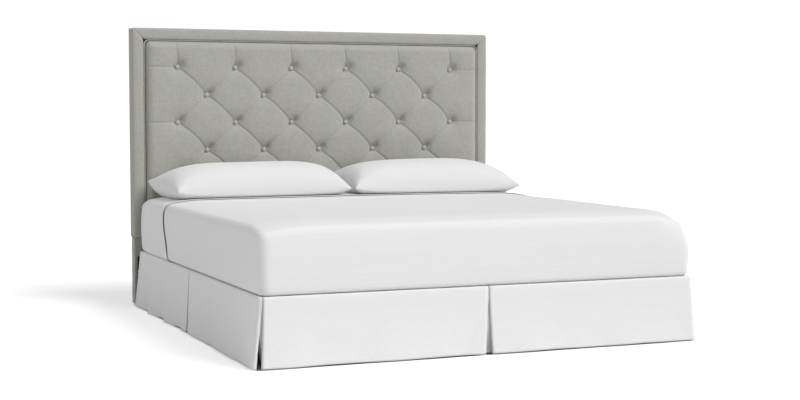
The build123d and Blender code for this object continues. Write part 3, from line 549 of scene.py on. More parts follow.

# ------------------------------------------------------------------ tufting buttons
# Domed buttons covered in the same linen, painted paler as painted light, and pressed into the
# dimples. The cloth is gathered behind the rim, which stands a little off the panel.


def set_input(modifier, tree, name, value):
    """Sets a node group's input on its modifier by the socket's identifier."""
    for item in tree.interface.items_tree:
        if item.item_type == "SOCKET" and item.in_out == "INPUT" and item.name == name:
            modifier[item.identifier] = value


def new_tree(name, inputs):
    """A Geometry Nodes tree with a geometry input and output and the named inputs."""
    tree = bpy.data.node_groups.new(name, "GeometryNodeTree")
    tree.interface.new_socket("Geometry", in_out="INPUT", socket_type="NodeSocketGeometry")
    for label, kind, default in inputs:
        socket = tree.interface.new_socket(label, in_out="INPUT", socket_type=kind)
        if default is not None:
            socket.default_value = default
    tree.interface.new_socket("Geometry", in_out="OUTPUT", socket_type="NodeSocketGeometry")
    return tree, tree.nodes.new("NodeGroupInput"), tree.nodes.new("NodeGroupOutput")


def finish_tree(tree, start, geometry, end):
    """Ends a tree in Realize Instances and Set Material."""
    realize = tree.nodes.new("GeometryNodeRealizeInstances")
    paint = tree.nodes.new("GeometryNodeSetMaterial")
    link(tree, geometry, realize.inputs["Geometry"])
    link(tree, realize.outputs["Geometry"], paint.inputs["Geometry"])
    link(tree, start.outputs["Material"], paint.inputs["Material"])
    link(tree, paint.outputs["Geometry"], end.inputs["Geometry"])


def instances_tree(name, tilt=False):
    """Puts one small object on every point of a mesh, turned to the point's own direction if it has one."""
    tree, start, end = new_tree(name, [
        ("Copy", "NodeSocketObject", None), ("Size", "NodeSocketFloat", 1.0),
        ("Material", "NodeSocketMaterial", None),
    ])
    info = tree.nodes.new("GeometryNodeObjectInfo")
    place = tree.nodes.new("GeometryNodeInstanceOnPoints")
    scale = tree.nodes.new("ShaderNodeCombineXYZ")
    link(tree, start.outputs["Copy"], info.inputs["Object"])
    for axis in "XYZ":
        link(tree, start.outputs["Size"], scale.inputs[axis])
    link(tree, start.outputs["Geometry"], place.inputs["Points"])
    link(tree, info.outputs["Geometry"], place.inputs["Instance"])
    link(tree, scale.outputs["Vector"], place.inputs["Scale"])
    if tilt:
        turned = tree.nodes.new("GeometryNodeInputNamedAttribute")
        turned.data_type = "FLOAT_VECTOR"
        set_sockets(turned, Name="turn")
        link(tree, turned.outputs["Attribute"], place.inputs["Rotation"])
    finish_tree(tree, start, place.outputs["Instances"], end)
    return tree


def bake_nodes(piece, tree, **values):
    """Runs a Geometry Nodes tree on a piece and keeps its result as a plain mesh."""
    modifier = piece.modifiers.new("build", "NODES")
    modifier.node_group = tree
    for label, value in values.items():
        set_input(modifier, tree, label, value)
    bpy.context.view_layer.update()
    graph = bpy.context.evaluated_depsgraph_get()
    mesh = bpy.data.meshes.new_from_object(piece.evaluated_get(graph))
    piece.modifiers.remove(modifier)
    piece.data = mesh
    return piece


def point_cloud(name, points, turns=None):
    """Loose points that a tree puts copies on, each with its own turn if one is given."""
    mesh = bpy.data.meshes.new(name)
    mesh.from_pydata([tuple(map(float, point)) for point in points], [], [])
    if turns is not None:
        attribute = mesh.attributes.new("turn", "FLOAT_VECTOR", "POINT")
        attribute.data.foreach_set("vector", np.asarray(turns, float).ravel())
    piece = bpy.data.objects.new(name, mesh)
    bpy.context.collection.objects.link(piece)
    return piece


def lathe_y(name, profile, steps, material):
    """A turned shape about the Y axis from (radius, y) pairs; a radius of 0 closes an end."""
    points, faces, rings = [], [], []
    for radius, y in profile:
        if radius == 0:
            rings.append([len(points)])
            points.append((0, y, 0))
            continue
        rings.append(list(range(len(points), len(points) + steps)))
        for step in range(steps):
            angle = 2 * math.pi * step / steps
            points.append((radius * math.cos(angle), y, radius * math.sin(angle)))
    for near, far in zip(rings, rings[1:]):
        for step in range(steps):
            after = (step + 1) % steps
            if len(near) == 1:
                faces.append((near[0], far[step], far[after]))
            elif len(far) == 1:
                faces.append((near[step], far[0], near[after]))
            else:
                faces.append((near[step], far[step], far[after], near[after]))
    return mesh_object(name, points, faces, material)


def discard(piece):
    bpy.data.objects.remove(piece, do_unlink=True)


BUTTON_BACK = 0.0062
BUTTON_STEPS = 28
BUTTON_PAINTED_LIGHT = 1.08
BUTTON_PROFILE = [
    (0, -0.0048), (0.0040, -0.0045), (0.0075, -0.0035), (0.0102, -0.0018), (0.0118, 0.0004),
    (BUTTON_RADIUS, 0.0028), (0.0122, 0.0046), (0.0105, 0.0058), (0.0070, BUTTON_BACK), (0, BUTTON_BACK),
]
# Painted light: the button linen is the panel's linen made paler, a lit copy of it.
linen_button_painted_light = linen("linen_button_painted_light", [c * BUTTON_PAINTED_LIGHT for c in HEADBOARD_LINEN], contrast=0.10)
button_copy = lathe_y("button_copy", BUTTON_PROFILE, BUTTON_STEPS, linen_button_painted_light)
face_outwards(button_copy)
button_y = button_high[1] - BUTTON_BACK
buttons = point_cloud("tufted_buttons", [(x, button_y, z) for x, z in button_points])
bake_nodes(buttons, instances_tree("button_row"), Copy=button_copy, Material=linen_button_painted_light)
shade_smooth(buttons.data)
discard(button_copy)
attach(buttons, "bed_frame")
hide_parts("tufting_buttons")

# ------------------------------------------------------------------ border
# Three padded members in the same linen, drawn tight over wadding. Their covers meet in a sewn
# mitre at the top corners and turn on to the back, where they are stapled.

BORDER_HALF_WIDTH = -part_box("border_cover_left")[0][0]
BORDER_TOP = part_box("border_cover_top")[1][2]
BORDER_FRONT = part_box("border_cover_top")[0][1]
BORDER_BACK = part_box("border_cover_top")[1][1]
BORDER_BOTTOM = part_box("border_cover_left")[0][2]
BORDER_WIDTH = BORDER_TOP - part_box("border_cover_top")[0][2]
PAD_FRONT = 0.0112
PAD_EDGE = 0.0052
COVER = 0.0012
FLAP = 0.032
BACK_ROUND = 0.005
OUTER_ROUND = 0.011
INNER_ROUND = 0.007
BORDER_CROWN = 0.0016
INNER_RETURN = 0.055
SEAM_PINCH = 0.0030
SEAM_REACH = 0.007
COVER_SLACK = 0.0007
STATION_STEP = 0.018
ALONG_FROM_SEAM = [0, 0.0012, 0.0026, 0.0045, 0.007, 0.010, 0.014, 0.019, 0.026, 0.036]


def corner_arc(centre_u, centre_y, radius, start, stop, count=6):
    """Points of a rounded edge, as (distance in from the outer edge, y)."""
    angles = np.radians(np.linspace(start, stop, count))
    return [(centre_u + radius * math.cos(a), centre_y + radius * math.sin(a)) for a in angles]


def border_section():
    """The cover from its back flap round the front to the inner edge, and the way back along the timber."""
    outer = [(FLAP, BORDER_BACK), (FLAP / 2, BORDER_BACK)]
    outer += corner_arc(BACK_ROUND, BORDER_BACK - BACK_ROUND, BACK_ROUND, 90, 180)
    outer += [(0, BORDER_BACK - 0.02), (0, BORDER_FRONT + 0.03)]
    outer += corner_arc(OUTER_ROUND, BORDER_FRONT + OUTER_ROUND, OUTER_ROUND, 180, 270, 9)
    for part in np.linspace(0.25, 0.75, 5):
        crown = BORDER_CROWN * math.sin(math.pi * part)
        outer.append((part * BORDER_WIDTH, BORDER_FRONT - crown))
    outer += corner_arc(BORDER_WIDTH - INNER_ROUND, BORDER_FRONT + INNER_ROUND, INNER_ROUND, 270, 360, 7)
    outer += [(BORDER_WIDTH, BORDER_FRONT + 0.025), (BORDER_WIDTH, BORDER_FRONT + INNER_RETURN)]
    inner = [
        (BORDER_WIDTH - COVER, BORDER_FRONT + INNER_RETURN),
        (BORDER_WIDTH - COVER, BORDER_FRONT + PAD_FRONT),
        (PAD_EDGE, BORDER_FRONT + PAD_FRONT),
        (PAD_EDGE, BORDER_BACK - COVER),
        (FLAP, BORDER_BACK - COVER),
    ]
    return outer, inner


def stations(length, both_ends):
    """Places along a member, close together near each mitre and wide apart elsewhere."""
    near = [d for d in ALONG_FROM_SEAM if d < length / 2]
    middle = list(np.arange(near[-1] + STATION_STEP, length - near[-1] * both_ends, STATION_STEP))
    ends = [length - d for d in reversed(near)] if both_ends else [length]
    return np.array(near + middle + ends) / length


def tube_faces(size, rings):
    """Quads along a tube of equal rings of points, one ring after another."""
    faces = []
    for ring in range(rings - 1):
        a, b = ring * size, (ring + 1) * size
        for number in range(size):
            after = (number + 1) % size
            faces.append((a + number, a + after, b + after, b + number))
    return faces


def end_faces(size, rings):
    """The first and last ring of such a tube, each closed by one face."""
    return [tuple(range(size)), tuple((rings - 1) * size + number for number in reversed(range(size)))]


def border_member(name, place, both_ends, length):
    """Sweeps the section; place(u, part) gives x and z for a distance in from the outer edge."""
    outer, inner = border_section()
    section = outer + inner
    steps = stations(length, both_ends)
    points = []
    middle_u, middle_y = BORDER_WIDTH / 2, (BORDER_FRONT + BORDER_BACK) / 2
    for part in steps:
        from_seam = part * length
        if both_ends:
            from_seam = min(from_seam, length - from_seam)
        pinch = SEAM_PINCH * math.exp(-((from_seam / SEAM_REACH) ** 1.3))
        slack = COVER_SLACK * math.sin(27 * part * length) * smooth_step(0, 0.05, from_seam)
        for number, (u, y) in enumerate(section):
            if number < len(outer) and 0 < y < BORDER_BACK - 0.004:
                u += pinch * np.sign(middle_u - u) * min(1, abs(middle_u - u) / 0.025)
                y += (pinch + slack) * np.sign(middle_y - y) * (1 if y < middle_y else 0)
            x, z = place(u, part)
            points.append((x, y, z))
    faces = tube_faces(len(section), len(steps)) + end_faces(len(section), len(steps))
    piece = mesh_object(name, points, faces, linen_grey)
    face_outwards(piece)
    return piece


def side_place(side):
    """Places on a side member, from its mitre down to its lower end."""
    def place(u, part):
        top = BORDER_TOP - u
        return side * (BORDER_HALF_WIDTH - u), top + (BORDER_BOTTOM - top) * part
    return place


def top_place(u, part):
    """Places on the top member, from its left mitre to its right one."""
    reach = BORDER_HALF_WIDTH - u
    return -reach + 2 * reach * part, BORDER_TOP - u


side_length = BORDER_TOP - BORDER_BOTTOM
borders = {
    "left": border_member("border_left", side_place(-1), False, side_length),
    "right": border_member("border_right", side_place(1), False, side_length),
    "top": border_member("border_top", top_place, True, 2 * BORDER_HALF_WIDTH),
}
for place_name, border in borders.items():
    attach(border, "bed_frame")
    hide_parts(f"border_cover_{place_name}", f"border_padding_{place_name}")

# ------------------------------------------------------------------ welt
# Piping cut on the bias from the same linen, round the joint between border and panel.


def piping_tree():
    """A round cord along a rectangle with round corners, stood up in the XZ plane."""
    tree, start, end = new_tree("piping", [
        ("Width", "NodeSocketFloat", 1.0), ("Height", "NodeSocketFloat", 1.0),
        ("Corner", "NodeSocketFloat", 0.02), ("Cord", "NodeSocketFloat", 0.004),
        ("Centre", "NodeSocketVector", None), ("Material", "NodeSocketMaterial", None),
    ])
    outline = tree.nodes.new("GeometryNodeCurvePrimitiveQuadrilateral")
    rounded = tree.nodes.new("GeometryNodeFilletCurve")
    rounded.mode = "POLY"
    split = tree.nodes.new("GeometryNodeResampleCurve")
    circle = tree.nodes.new("GeometryNodeCurvePrimitiveCircle")
    tube = tree.nodes.new("GeometryNodeCurveToMesh")
    stand = tree.nodes.new("GeometryNodeTransform")
    set_sockets(rounded, Count=10)
    set_sockets(split, Count=560)
    set_sockets(circle, Resolution=14)
    set_sockets(stand, Rotation=(math.pi / 2, 0, 0))
    link(tree, start.outputs["Width"], outline.inputs["Width"])
    link(tree, start.outputs["Height"], outline.inputs["Height"])
    link(tree, outline.outputs["Curve"], rounded.inputs["Curve"])
    link(tree, start.outputs["Corner"], rounded.inputs["Radius"])
    link(tree, rounded.outputs["Curve"], split.inputs["Curve"])
    link(tree, split.outputs["Curve"], tube.inputs["Curve"])
    link(tree, start.outputs["Cord"], circle.inputs["Radius"])
    link(tree, circle.outputs["Curve"], tube.inputs["Profile Curve"])
    link(tree, tube.outputs["Mesh"], stand.inputs["Geometry"])
    link(tree, start.outputs["Centre"], stand.inputs["Translation"])
    finish_tree(tree, start, stand.outputs["Geometry"], end)
    return tree


WELT_CORD = 0.0040
WELT_SUNK = 0.005
WELT_CORNER = 0.026
welt_low, welt_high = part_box("panel_welt")
welt_width = float(welt_high[0] - welt_low[0] - 2 * WELT_CORD)
welt_height = float(welt_high[2] - welt_low[2] - 2 * WELT_CORD)
welt_centre = (0.0, float(welt_low[1] + welt_high[1]) / 2 + WELT_SUNK, float(welt_low[2] + welt_high[2]) / 2)
welt = point_cloud("panel_piping", [(0, 0, 0)])
bake_nodes(
    welt, piping_tree(), Width=welt_width, Height=welt_height, Corner=WELT_CORNER, Cord=WELT_CORD,
    Centre=welt_centre, Material=linen_grey,
)
shade_smooth(welt.data)
face_outwards(welt)
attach(welt, "bed_frame")
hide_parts("panel_welt")

# ------------------------------------------------------------------ lower border strip and leg sleeves
# The bottom member and both legs are wrapped in the same linen. Each sleeve is butted under the
# border and closed at the back, and its lower edge is turned in above the glide.


def swept(name, section, places, material):
    """Sweeps a closed section of pairs through several places; each place turns a pair into a point."""
    points = []
    for place in places:
        points += [place(first, second) for first, second in section]
    faces = tube_faces(len(section), len(places)) + end_faces(len(section), len(places))
    piece = mesh_object(name, points, faces, material)
    face_outwards(piece)
    return piece


def thicken(piece, thickness):
    """Gives a cloth its thickness, inwards from its outer face."""
    cloth = piece.modifiers.new("cloth", "SOLIDIFY")
    cloth.thickness = thickness
    cloth.offset = -1


def rounded_box(low, high, radius, count=5):
    """A rectangle with round corners as (first, second) pairs, counter-clockwise."""
    pairs = []
    corners = ((high[0], high[1], 0), (low[0], high[1], 90), (low[0], low[1], 180), (high[0], low[1], 270))
    for first, second, start in corners:
        centre_first = first - radius * (1 if first == high[0] else -1)
        centre_second = second - radius * (1 if second == high[1] else -1)
        for angle in np.radians(np.linspace(start, start + 90, count)):
            pairs.append((centre_first + radius * math.cos(angle), centre_second + radius * math.sin(angle)))
    return pairs


STRIP_CLOTH = 0.0011
STRIP_FLAP = 0.032
STRIP_STEPS = 61
STRIP_WAVE = 0.0004
STRIP_WAVE_Y = 1.02
LEG_CLEARANCE = 0.0006
LOWER_ROUND = 0.006
LOWER_BEVEL = 0.0018
UPPER_ROUND = 0.004
UPPER_BEVEL = 0.0012
strip_low, strip_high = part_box("border_cover_bottom")
strip_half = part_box("headboard_leg_right")[0][0] - LEG_CLEARANCE
board_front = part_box("tufting_board")[0][1]
front, back, low_z, high_z = strip_low[1], strip_high[1], strip_low[2], strip_high[2]
strip_section = [
    (board_front, high_z), (front + UPPER_ROUND, high_z), (front + UPPER_BEVEL, high_z - UPPER_BEVEL),
    (front, high_z - UPPER_ROUND), (front, low_z + LOWER_ROUND), (front + LOWER_BEVEL, low_z + LOWER_BEVEL),
    (front + LOWER_ROUND, low_z), (back - LOWER_ROUND, low_z), (back - LOWER_BEVEL, low_z + LOWER_BEVEL),
    (back, low_z + LOWER_ROUND), (back, low_z + STRIP_FLAP), (back - STRIP_CLOTH, low_z + STRIP_FLAP),
    (back - STRIP_CLOTH, low_z + LOWER_ROUND), (back - LOWER_ROUND, low_z + STRIP_CLOTH),
    (front + LOWER_ROUND, low_z + STRIP_CLOTH), (front + STRIP_CLOTH, low_z + LOWER_ROUND),
    (front + STRIP_CLOTH, high_z - UPPER_ROUND), (front + UPPER_ROUND, high_z - STRIP_CLOTH),
    (board_front, high_z - STRIP_CLOTH),
]


def strip_place(x):
    """Places round the strip at one distance along it, with a faint wave on its front."""
    wave = STRIP_WAVE * math.sin(31 * x)
    return lambda y, z: (x, y + (wave if y < STRIP_WAVE_Y else 0), z)


strip_places = [strip_place(x) for x in np.linspace(-strip_half, strip_half, STRIP_STEPS)]
strip = swept("border_bottom", strip_section, strip_places, linen_grey)
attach(strip, "bed_frame")
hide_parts("border_cover_bottom")

SLEEVE_EASE = 0.0012
SLEEVE_WAVE = 0.0004
SLEEVE_TUCK = 0.0008
SLEEVE_CLOTH = 0.0008
LEG_ROUND = 0.004
sleeve_low, sleeve_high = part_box("headboard_leg_covers")
for side_name in ("left", "right"):
    leg_low, leg_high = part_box(f"headboard_leg_{side_name}")
    heights = [sleeve_low[2], sleeve_low[2] + 0.002, sleeve_low[2] + 0.012]
    heights += list(np.linspace(sleeve_low[2] + 0.03, sleeve_high[2] - 0.012, 14))
    heights += [sleeve_high[2] - 0.003, sleeve_high[2]]
    points = []
    outline = rounded_box((leg_low[0], leg_low[1]), (leg_high[0], leg_high[1]), LEG_ROUND)
    centre_x, centre_y = (leg_low[0] + leg_high[0]) / 2, (leg_low[1] + leg_high[1]) / 2
    for level, height in enumerate(heights):
        for x, y in outline:
            out = SLEEVE_EASE + SLEEVE_WAVE * math.sin(60 * height + 3 * x)
            if level == 0 or level == len(heights) - 1:
                out -= SLEEVE_TUCK
            eased_x, eased_y = x + math.copysign(out, x - centre_x), y + math.copysign(out, y - centre_y)
            points.append((eased_x, eased_y, height))
    sleeve_faces = tube_faces(len(outline), len(heights))
    sleeve = mesh_object(f"leg_sleeve_{side_name}", points, sleeve_faces, linen_grey)
    thicken(sleeve, SLEEVE_CLOTH)
    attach(sleeve, "bed_frame")
    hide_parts("headboard_leg_covers")

# ------------------------------------------------------------------ dust cover
# Black non-woven cloth closes the back. It is stapled through its edge about every 60 mm and is
# drawn in a little between the rails and studs.

DUST_SLACK = 0.00044
DUST_DIMPLE = 0.00036
DUST_COLUMNS = 110
DUST_ROWS = 60
STUD_X = 0.381
STAPLE_PITCH = 0.060
STAPLE_INSET = 0.012
STAPLE_HALF_LENGTH = 0.0055
STAPLE_HALF_WIRE = 0.0005
dust_low, dust_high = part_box("headboard_back_cover")


def nonwoven(name, colour):
    """Spun non-woven cloth: random fibres with a pressed diamond grid."""
    material, tree, shader = new_material(name)
    fibres = noise(tree, object_coords(tree), 700.0, 4.0, 0.7)
    cells = tree.nodes.new("ShaderNodeTexVoronoi")
    set_sockets(cells, Scale=420.0, Randomness=0.25)
    link(tree, object_coords(tree), cells.inputs["Vector"])
    both = blend(tree, fibres, 0.6, cells.outputs["Distance"], 0.5)
    dark, pale = shades(colour, 0.6, 1.5)
    link(tree, ramp(tree, both, (0.3, dark), (0.8, pale)), shader.inputs["Base Color"])
    set_sockets(shader, Roughness=0.85, Specular_IOR_Level=0.2)
    bump(tree, shader, both, 0.0004)
    return material


def plated_steel(name, colour, roughness):
    """Zinc-plated steel with a slightly cloudy plating."""
    material, tree, shader = new_material(name)
    cloud = noise(tree, object_coords(tree), 130.0, 3.0)
    dark, pale = shades(colour, 0.8, 1)
    shiny, dull = shades([roughness] * 3, 0.8, 1.3)
    link(tree, ramp(tree, cloud, (0.35, dark), (0.65, pale)), shader.inputs["Base Color"])
    link(tree, ramp(tree, cloud, (0.3, shiny), (0.7, dull)), shader.inputs["Roughness"])
    set_sockets(shader, Metallic=1.0)
    bump(tree, shader, cloud, 0.0001, 0.4)
    return material


dust_black = nonwoven("dust_black", (0.022, 0.022, 0.023))
zinc = plated_steel("zinc_plated", (0.66, 0.67, 0.68), 0.34)
across = np.linspace(dust_low[0], dust_high[0], DUST_COLUMNS)
upward = np.linspace(dust_low[2], dust_high[2], DUST_ROWS)
x, z = np.meshgrid(across, upward, indexing="ij")
edge_gap = np.minimum(dust_high[0] - np.abs(x), np.minimum(z - dust_low[2], dust_high[2] - z))
free = smooth_step(0.02, 0.12, edge_gap) * smooth_step(0.03, 0.08, np.abs(np.abs(x) - STUD_X))
y = dust_high[1] - 0.0002 - free * DUST_SLACK * (1 + 0.6 * np.sin(9 * x + 4 * z))
at_staples = 0.5 + 0.5 * np.cos(2 * math.pi * (x + z) / STAPLE_PITCH)
y -= DUST_DIMPLE * np.exp(-((edge_gap / 0.006) ** 2)) * at_staples
dust_points = np.stack([x, y, z], axis=-1).reshape(-1, 3)
dust_faces = [face[::-1] for face in grid_faces(DUST_COLUMNS, DUST_ROWS)]
dust_cover = mesh_object("dust_cover", dust_points, dust_faces, dust_black)
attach(dust_cover, "bed_frame")
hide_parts("headboard_back_cover")

staple_points, staple_turns = [], []
row_step, side_step = (STAPLE_PITCH * 1.027, 0), (0, STAPLE_PITCH * 1.03)
for count, start, step, turn in (
    (32, (dust_low[0] + 0.035, dust_high[2] - STAPLE_INSET), row_step, 0.15),
    (32, (dust_low[0] + 0.035, dust_low[2] + STAPLE_INSET), row_step, -0.1),
    (16, (dust_low[0] + STAPLE_INSET, dust_low[2] + 0.06), side_step, 1.45),
    (16, (dust_high[0] - STAPLE_INSET, dust_low[2] + 0.06), side_step, 1.65),
):
    for number in range(count):
        staple_x, staple_z = start[0] + step[0] * number, start[1] + step[1] * number
        staple_points.append((staple_x, dust_high[1] + 0.0002, staple_z))
        staple_turns.append((0, turn + 0.12 * math.sin(5.3 * number), 0))
wire_half = (STAPLE_HALF_LENGTH, STAPLE_HALF_WIRE)
wire = rounded_box((-wire_half[0], -wire_half[1]), wire_half, 0.0004, 2)
staple_copy = swept("staple_copy", wire, [lambda a, b: (a, b, -0.0006), lambda a, b: (a, b, 0.0006)], zinc)
staples = point_cloud("dust_cover_staples", staple_points, staple_turns)
bake_nodes(staples, instances_tree("staple_row", tilt=True), Copy=staple_copy, Material=zinc)
discard(staple_copy)
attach(staples, "bed_frame")

# ------------------------------------------------------------------ steel frame
# Angle-steel side rails, cross rails and a centre rail, powder-coated black and riveted. Plated
# bolts fix the headboard legs to the brackets, and three plated feet screw down to the floor.


def powder_coat(name, colour):
    """Black powder coat: an orange-peel surface with duller, paler patches."""
    material, tree, shader = new_material(name)
    peel = noise(tree, object_coords(tree), 520.0, 2.0)
    dull = noise(tree, object_coords(tree), 9.0, 4.0)
    dark, pale = shades(colour, 1, 1.7)
    link(tree, ramp(tree, dull, (0.35, dark), (0.75, pale)), shader.inputs["Base Color"])
    link(tree, ramp(tree, dull, (0.3, [0.34] * 3), (0.7, [0.48] * 3)), shader.inputs["Roughness"])
    bump(tree, shader, peel, 0.0003, 0.5)
    return material


black_coat = powder_coat("black_powder_coat", (0.012, 0.012, 0.013))
finish_cad(
    black_coat, "side_rail_left", "side_rail_right", "cross_rail_head", "cross_rail_middle",
    "cross_rail_foot", "centre_rail", "headboard_bracket_left", "headboard_bracket_right", "corner_legs",
    "centre_legs",
)
finish_cad(
    zinc, "headboard_bolts", "frame_rivets", "levelling_foot_head", "levelling_foot_middle",
    "levelling_foot_foot", "box_spring_grid_left", "box_spring_grid_right",
)
spruce = timber("spruce_slats", (0.66, 0.50, 0.30), (0.48, 0.33, 0.17), ALONG_X)
finish_cad(spruce, "box_spring_frame_left", "box_spring_frame_right")

# ------------------------------------------------------------------ box springs
# Two half-width units side by side, each a slatted frame and wire grid under damask ticking.
# A woven tape binds the top and bottom edges, and the sides swell a little between them.


def plan_axis(low, high, corner, spacing, cuts=()):
    """Places across one side: close together within the corner radius, and through each cut."""
    bend = corner * np.linspace(0, 1, 5)
    edges = [low + corner, *cuts, high - corner]
    middle = []
    for start, stop in zip(edges, edges[1:]):
        steps = max(1, round((stop - start) / spacing))
        middle.extend(np.linspace(start, stop, steps + 1)[:-1])
    return np.array([*(low + bend[:-1]), *middle, *(high - corner + bend)])


def shifted(profile, distance):
    """A profile of (out, z) pairs moved along its own normals."""
    line = np.array(profile)
    run = np.gradient(line, axis=0)
    normal = np.stack([-run[:, 1], run[:, 0]], axis=1)
    normal[0] = (0, 1)
    normal /= np.linalg.norm(normal, axis=1)[:, None]
    return line + distance * normal


def slab(low, high, corner, profile, spacing, cuts=(), rise=None):
    """Skin of a soft slab. Low and high are the plan of its flat top, whose rim has round corners,
    and the profile runs from that rim outwards and down. Returns points, faces, the grid of point
    numbers, and the rings of point numbers below the rim."""
    xs = plan_axis(low[0], high[0], corner, spacing)
    ys = plan_axis(low[1], high[1], corner, spacing, cuts)
    x, y = np.meshgrid(xs, ys, indexing="ij")
    centre = (np.array(low) + np.array(high)) / 2
    half = (np.array(high) - np.array(low)) / 2
    over_x = np.clip(np.abs(x - centre[0]) - half[0] + corner, 0, None)
    over_y = np.clip(np.abs(y - centre[1]) - half[1] + corner, 0, None)
    reach = np.hypot(over_x, over_y)
    shrink = np.where(reach > 0, np.maximum(over_x, over_y) / np.maximum(reach, 1e-12), 1)
    both = (over_x > 0) & (over_y > 0)
    sign_x, sign_y = np.sign(x - centre[0]), np.sign(y - centre[1])
    plan_x = np.where(both, centre[0] + sign_x * (half[0] - corner + over_x * shrink), x)
    plan_y = np.where(both, centre[1] + sign_y * (half[1] - corner + over_y * shrink), y)
    lift = rise(plan_x, plan_y) if rise else np.zeros(x.shape)
    columns, rows = x.shape
    points = np.stack([plan_x, plan_y, profile[0][1] + lift], axis=-1).reshape(-1, 3).tolist()
    faces = grid_faces(columns, rows)
    grid = np.arange(columns * rows).reshape(columns, rows)
    rim = [*grid[:, 0], *grid[-1, 1:], *grid[-2::-1, -1], *grid[0, -2:0:-1]]
    flat_x, flat_y = (sign_x * over_x).ravel()[rim], (sign_y * over_y).ravel()[rim]
    length = np.hypot(flat_x, flat_y)
    out_x, out_y = flat_x / length, flat_y / length
    rim_lift = lift.ravel()[rim]
    rings = [np.array(rim)]
    top_z, low_z = profile[0][1], profile[-1][1]
    for out, height in profile[1:]:
        start = len(points)
        fade = ((height - low_z) / (top_z - low_z)) ** 2
        for number, place in enumerate(rim):
            px, py, _ = points[place]
            lifted = height + rim_lift[number] * fade
            points.append([px + out * out_x[number], py + out * out_y[number], lifted])
        rings.append(np.arange(start, start + len(rim)))
    for upper, lower in zip(rings, rings[1:]):
        faces += ring_walls(upper, lower)
    return np.array(points), faces, grid, rings


def closed_slab(name, low, high, corner, profile, spacing, material, rise=None):
    """A slab whose underside is filled from its last ring to a hub."""
    points, faces, _, rings = slab(low, high, corner, profile, spacing, rise=rise)
    hub = len(points)
    last = rings[-1]
    middle = points[last].mean(axis=0)
    points = np.vstack([points, middle])
    for number in range(len(last)):
        faces.append((last[number], hub, last[(number + 1) % len(last)]))
    piece = mesh_object(name, points, faces, material)
    face_outwards(piece)
    return piece


def side_profile(width, drop, top, bottom, foot_radius, swell, steps=8):
    """An elliptical top edge, a side that swells between top and bottom, and a round lower edge."""
    pairs = []
    for angle in np.radians(np.linspace(0, 90, steps)):
        pairs.append((width * math.sin(angle), top - drop * (1 - math.cos(angle))))
    side_top, side_low = top - drop, bottom + foot_radius
    for height in np.linspace(side_top, side_low, 12)[1:]:
        up = max(0.0, (height - side_low) / (side_top - side_low))
        pairs.append((width + swell * math.sin(math.pi * up) ** 0.8, height))
    for angle in np.radians(np.linspace(0, 90, 5))[1:]:
        pairs.append((width - foot_radius * (1 - math.cos(angle)), side_low - foot_radius * math.sin(angle)))
    return pairs


def damask_ticking(name, pale, dark):
    """Cream ticking with a woven stripe and a fine twill."""
    material, tree, shader = new_material(name)
    stripes = bands(tree, object_coords(tree, (1, 1, 0.2)), "X", Scale=16.0, Distortion=0.6)
    threads = noise(tree, object_coords(tree, (900, 900, 900)), 1.0, 2.0)
    both = blend(tree, stripes, 0.55, threads, 0.45)
    link(tree, ramp(tree, both, (0.25, dark), (0.75, pale)), shader.inputs["Base Color"])
    set_sockets(shader, Roughness=0.8, Specular_IOR_Level=0.25)
    bump(tree, shader, both, 0.0004)
    return material


def edge_tape(name, plan_low, plan_high, height, material):
    """A woven tape round a box spring at one height, as a flattened tube."""
    outline = rounded_box(plan_low, plan_high, SPRING_CORNER, 9)
    points, faces = [], []
    ring = 10
    count = len(outline)
    for number in range(count):
        before, after = outline[number - 1], outline[(number + 1) % count]
        along = Vector((after[0] - before[0], after[1] - before[1], 0)).normalized()
        outward = Vector((along.y, -along.x, 0))
        for step in range(ring):
            angle = 2 * math.pi * step / ring
            place = Vector((*outline[number], height)) + outward * TAPE_HALF_THICKNESS * math.cos(angle)
            points.append((place.x, place.y, place.z + TAPE_HALF_WIDTH * math.sin(angle)))
    for number in range(count):
        after = (number + 1) % count
        for step in range(ring):
            turn = (step + 1) % ring
            here, there = number * ring, after * ring
            faces.append((here + step, there + step, there + turn, here + turn))
    piece = mesh_object(name, points, faces, material)
    face_outwards(piece)
    return piece


ticking = damask_ticking("damask_ticking", (0.74, 0.73, 0.68), (0.60, 0.59, 0.55))
tape_white = damask_ticking("edge_tape", (0.70, 0.69, 0.66), (0.55, 0.54, 0.50))
SPRING_CORNER = 0.020
SPRING_EDGE = 0.010
SPRING_FOOT = 0.008
SPRING_SWELL = 0.0014
SPRING_CLEARANCE = 0.0004
TAPE_INSET = 0.002
TAPE_HALF_WIDTH = 0.0035
TAPE_HALF_THICKNESS = 0.45 * TAPE_HALF_WIDTH
TOP_TAPE_DOWN = 0.014
BOTTOM_TAPE_UP = 0.012
for side_name in ("left", "right"):
    box_low, box_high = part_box(f"box_spring_cover_{side_name}")
    tape_low = (box_low[0] + TAPE_INSET, box_low[1] + TAPE_INSET)
    tape_high = (box_high[0] - TAPE_INSET, box_high[1] - TAPE_INSET)
    flat_low = (tape_low[0] + SPRING_EDGE, tape_low[1] + SPRING_EDGE)
    flat_high = (tape_high[0] - SPRING_EDGE, tape_high[1] - SPRING_EDGE)
    spring_top = box_high[2] - SPRING_CLEARANCE
    spring_profile = side_profile(SPRING_EDGE, SPRING_EDGE, spring_top, box_low[2], SPRING_FOOT, SPRING_SWELL)
    spring = closed_slab(
        f"box_spring_{side_name}", flat_low, flat_high, SPRING_CORNER - SPRING_EDGE,
        spring_profile, 0.03, ticking,
    )
    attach(spring, "foundation")
    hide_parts(f"box_spring_cover_{side_name}")
    for level_name, height in (("top", box_high[2] - TOP_TAPE_DOWN), ("bottom", box_low[2] + BOTTOM_TAPE_UP)):
        tape = edge_tape(f"box_spring_tape_{level_name}_{side_name}", tape_low, tape_high, height, tape_white)
        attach(tape, "foundation")

# ------------------------------------------------------------------ bed skirt
# A thin deck lies on the box springs, and six tailored drops hang from it to just above the
# floor. Each drop ends in an inverted pleat that opens towards the hem over a separate insert.


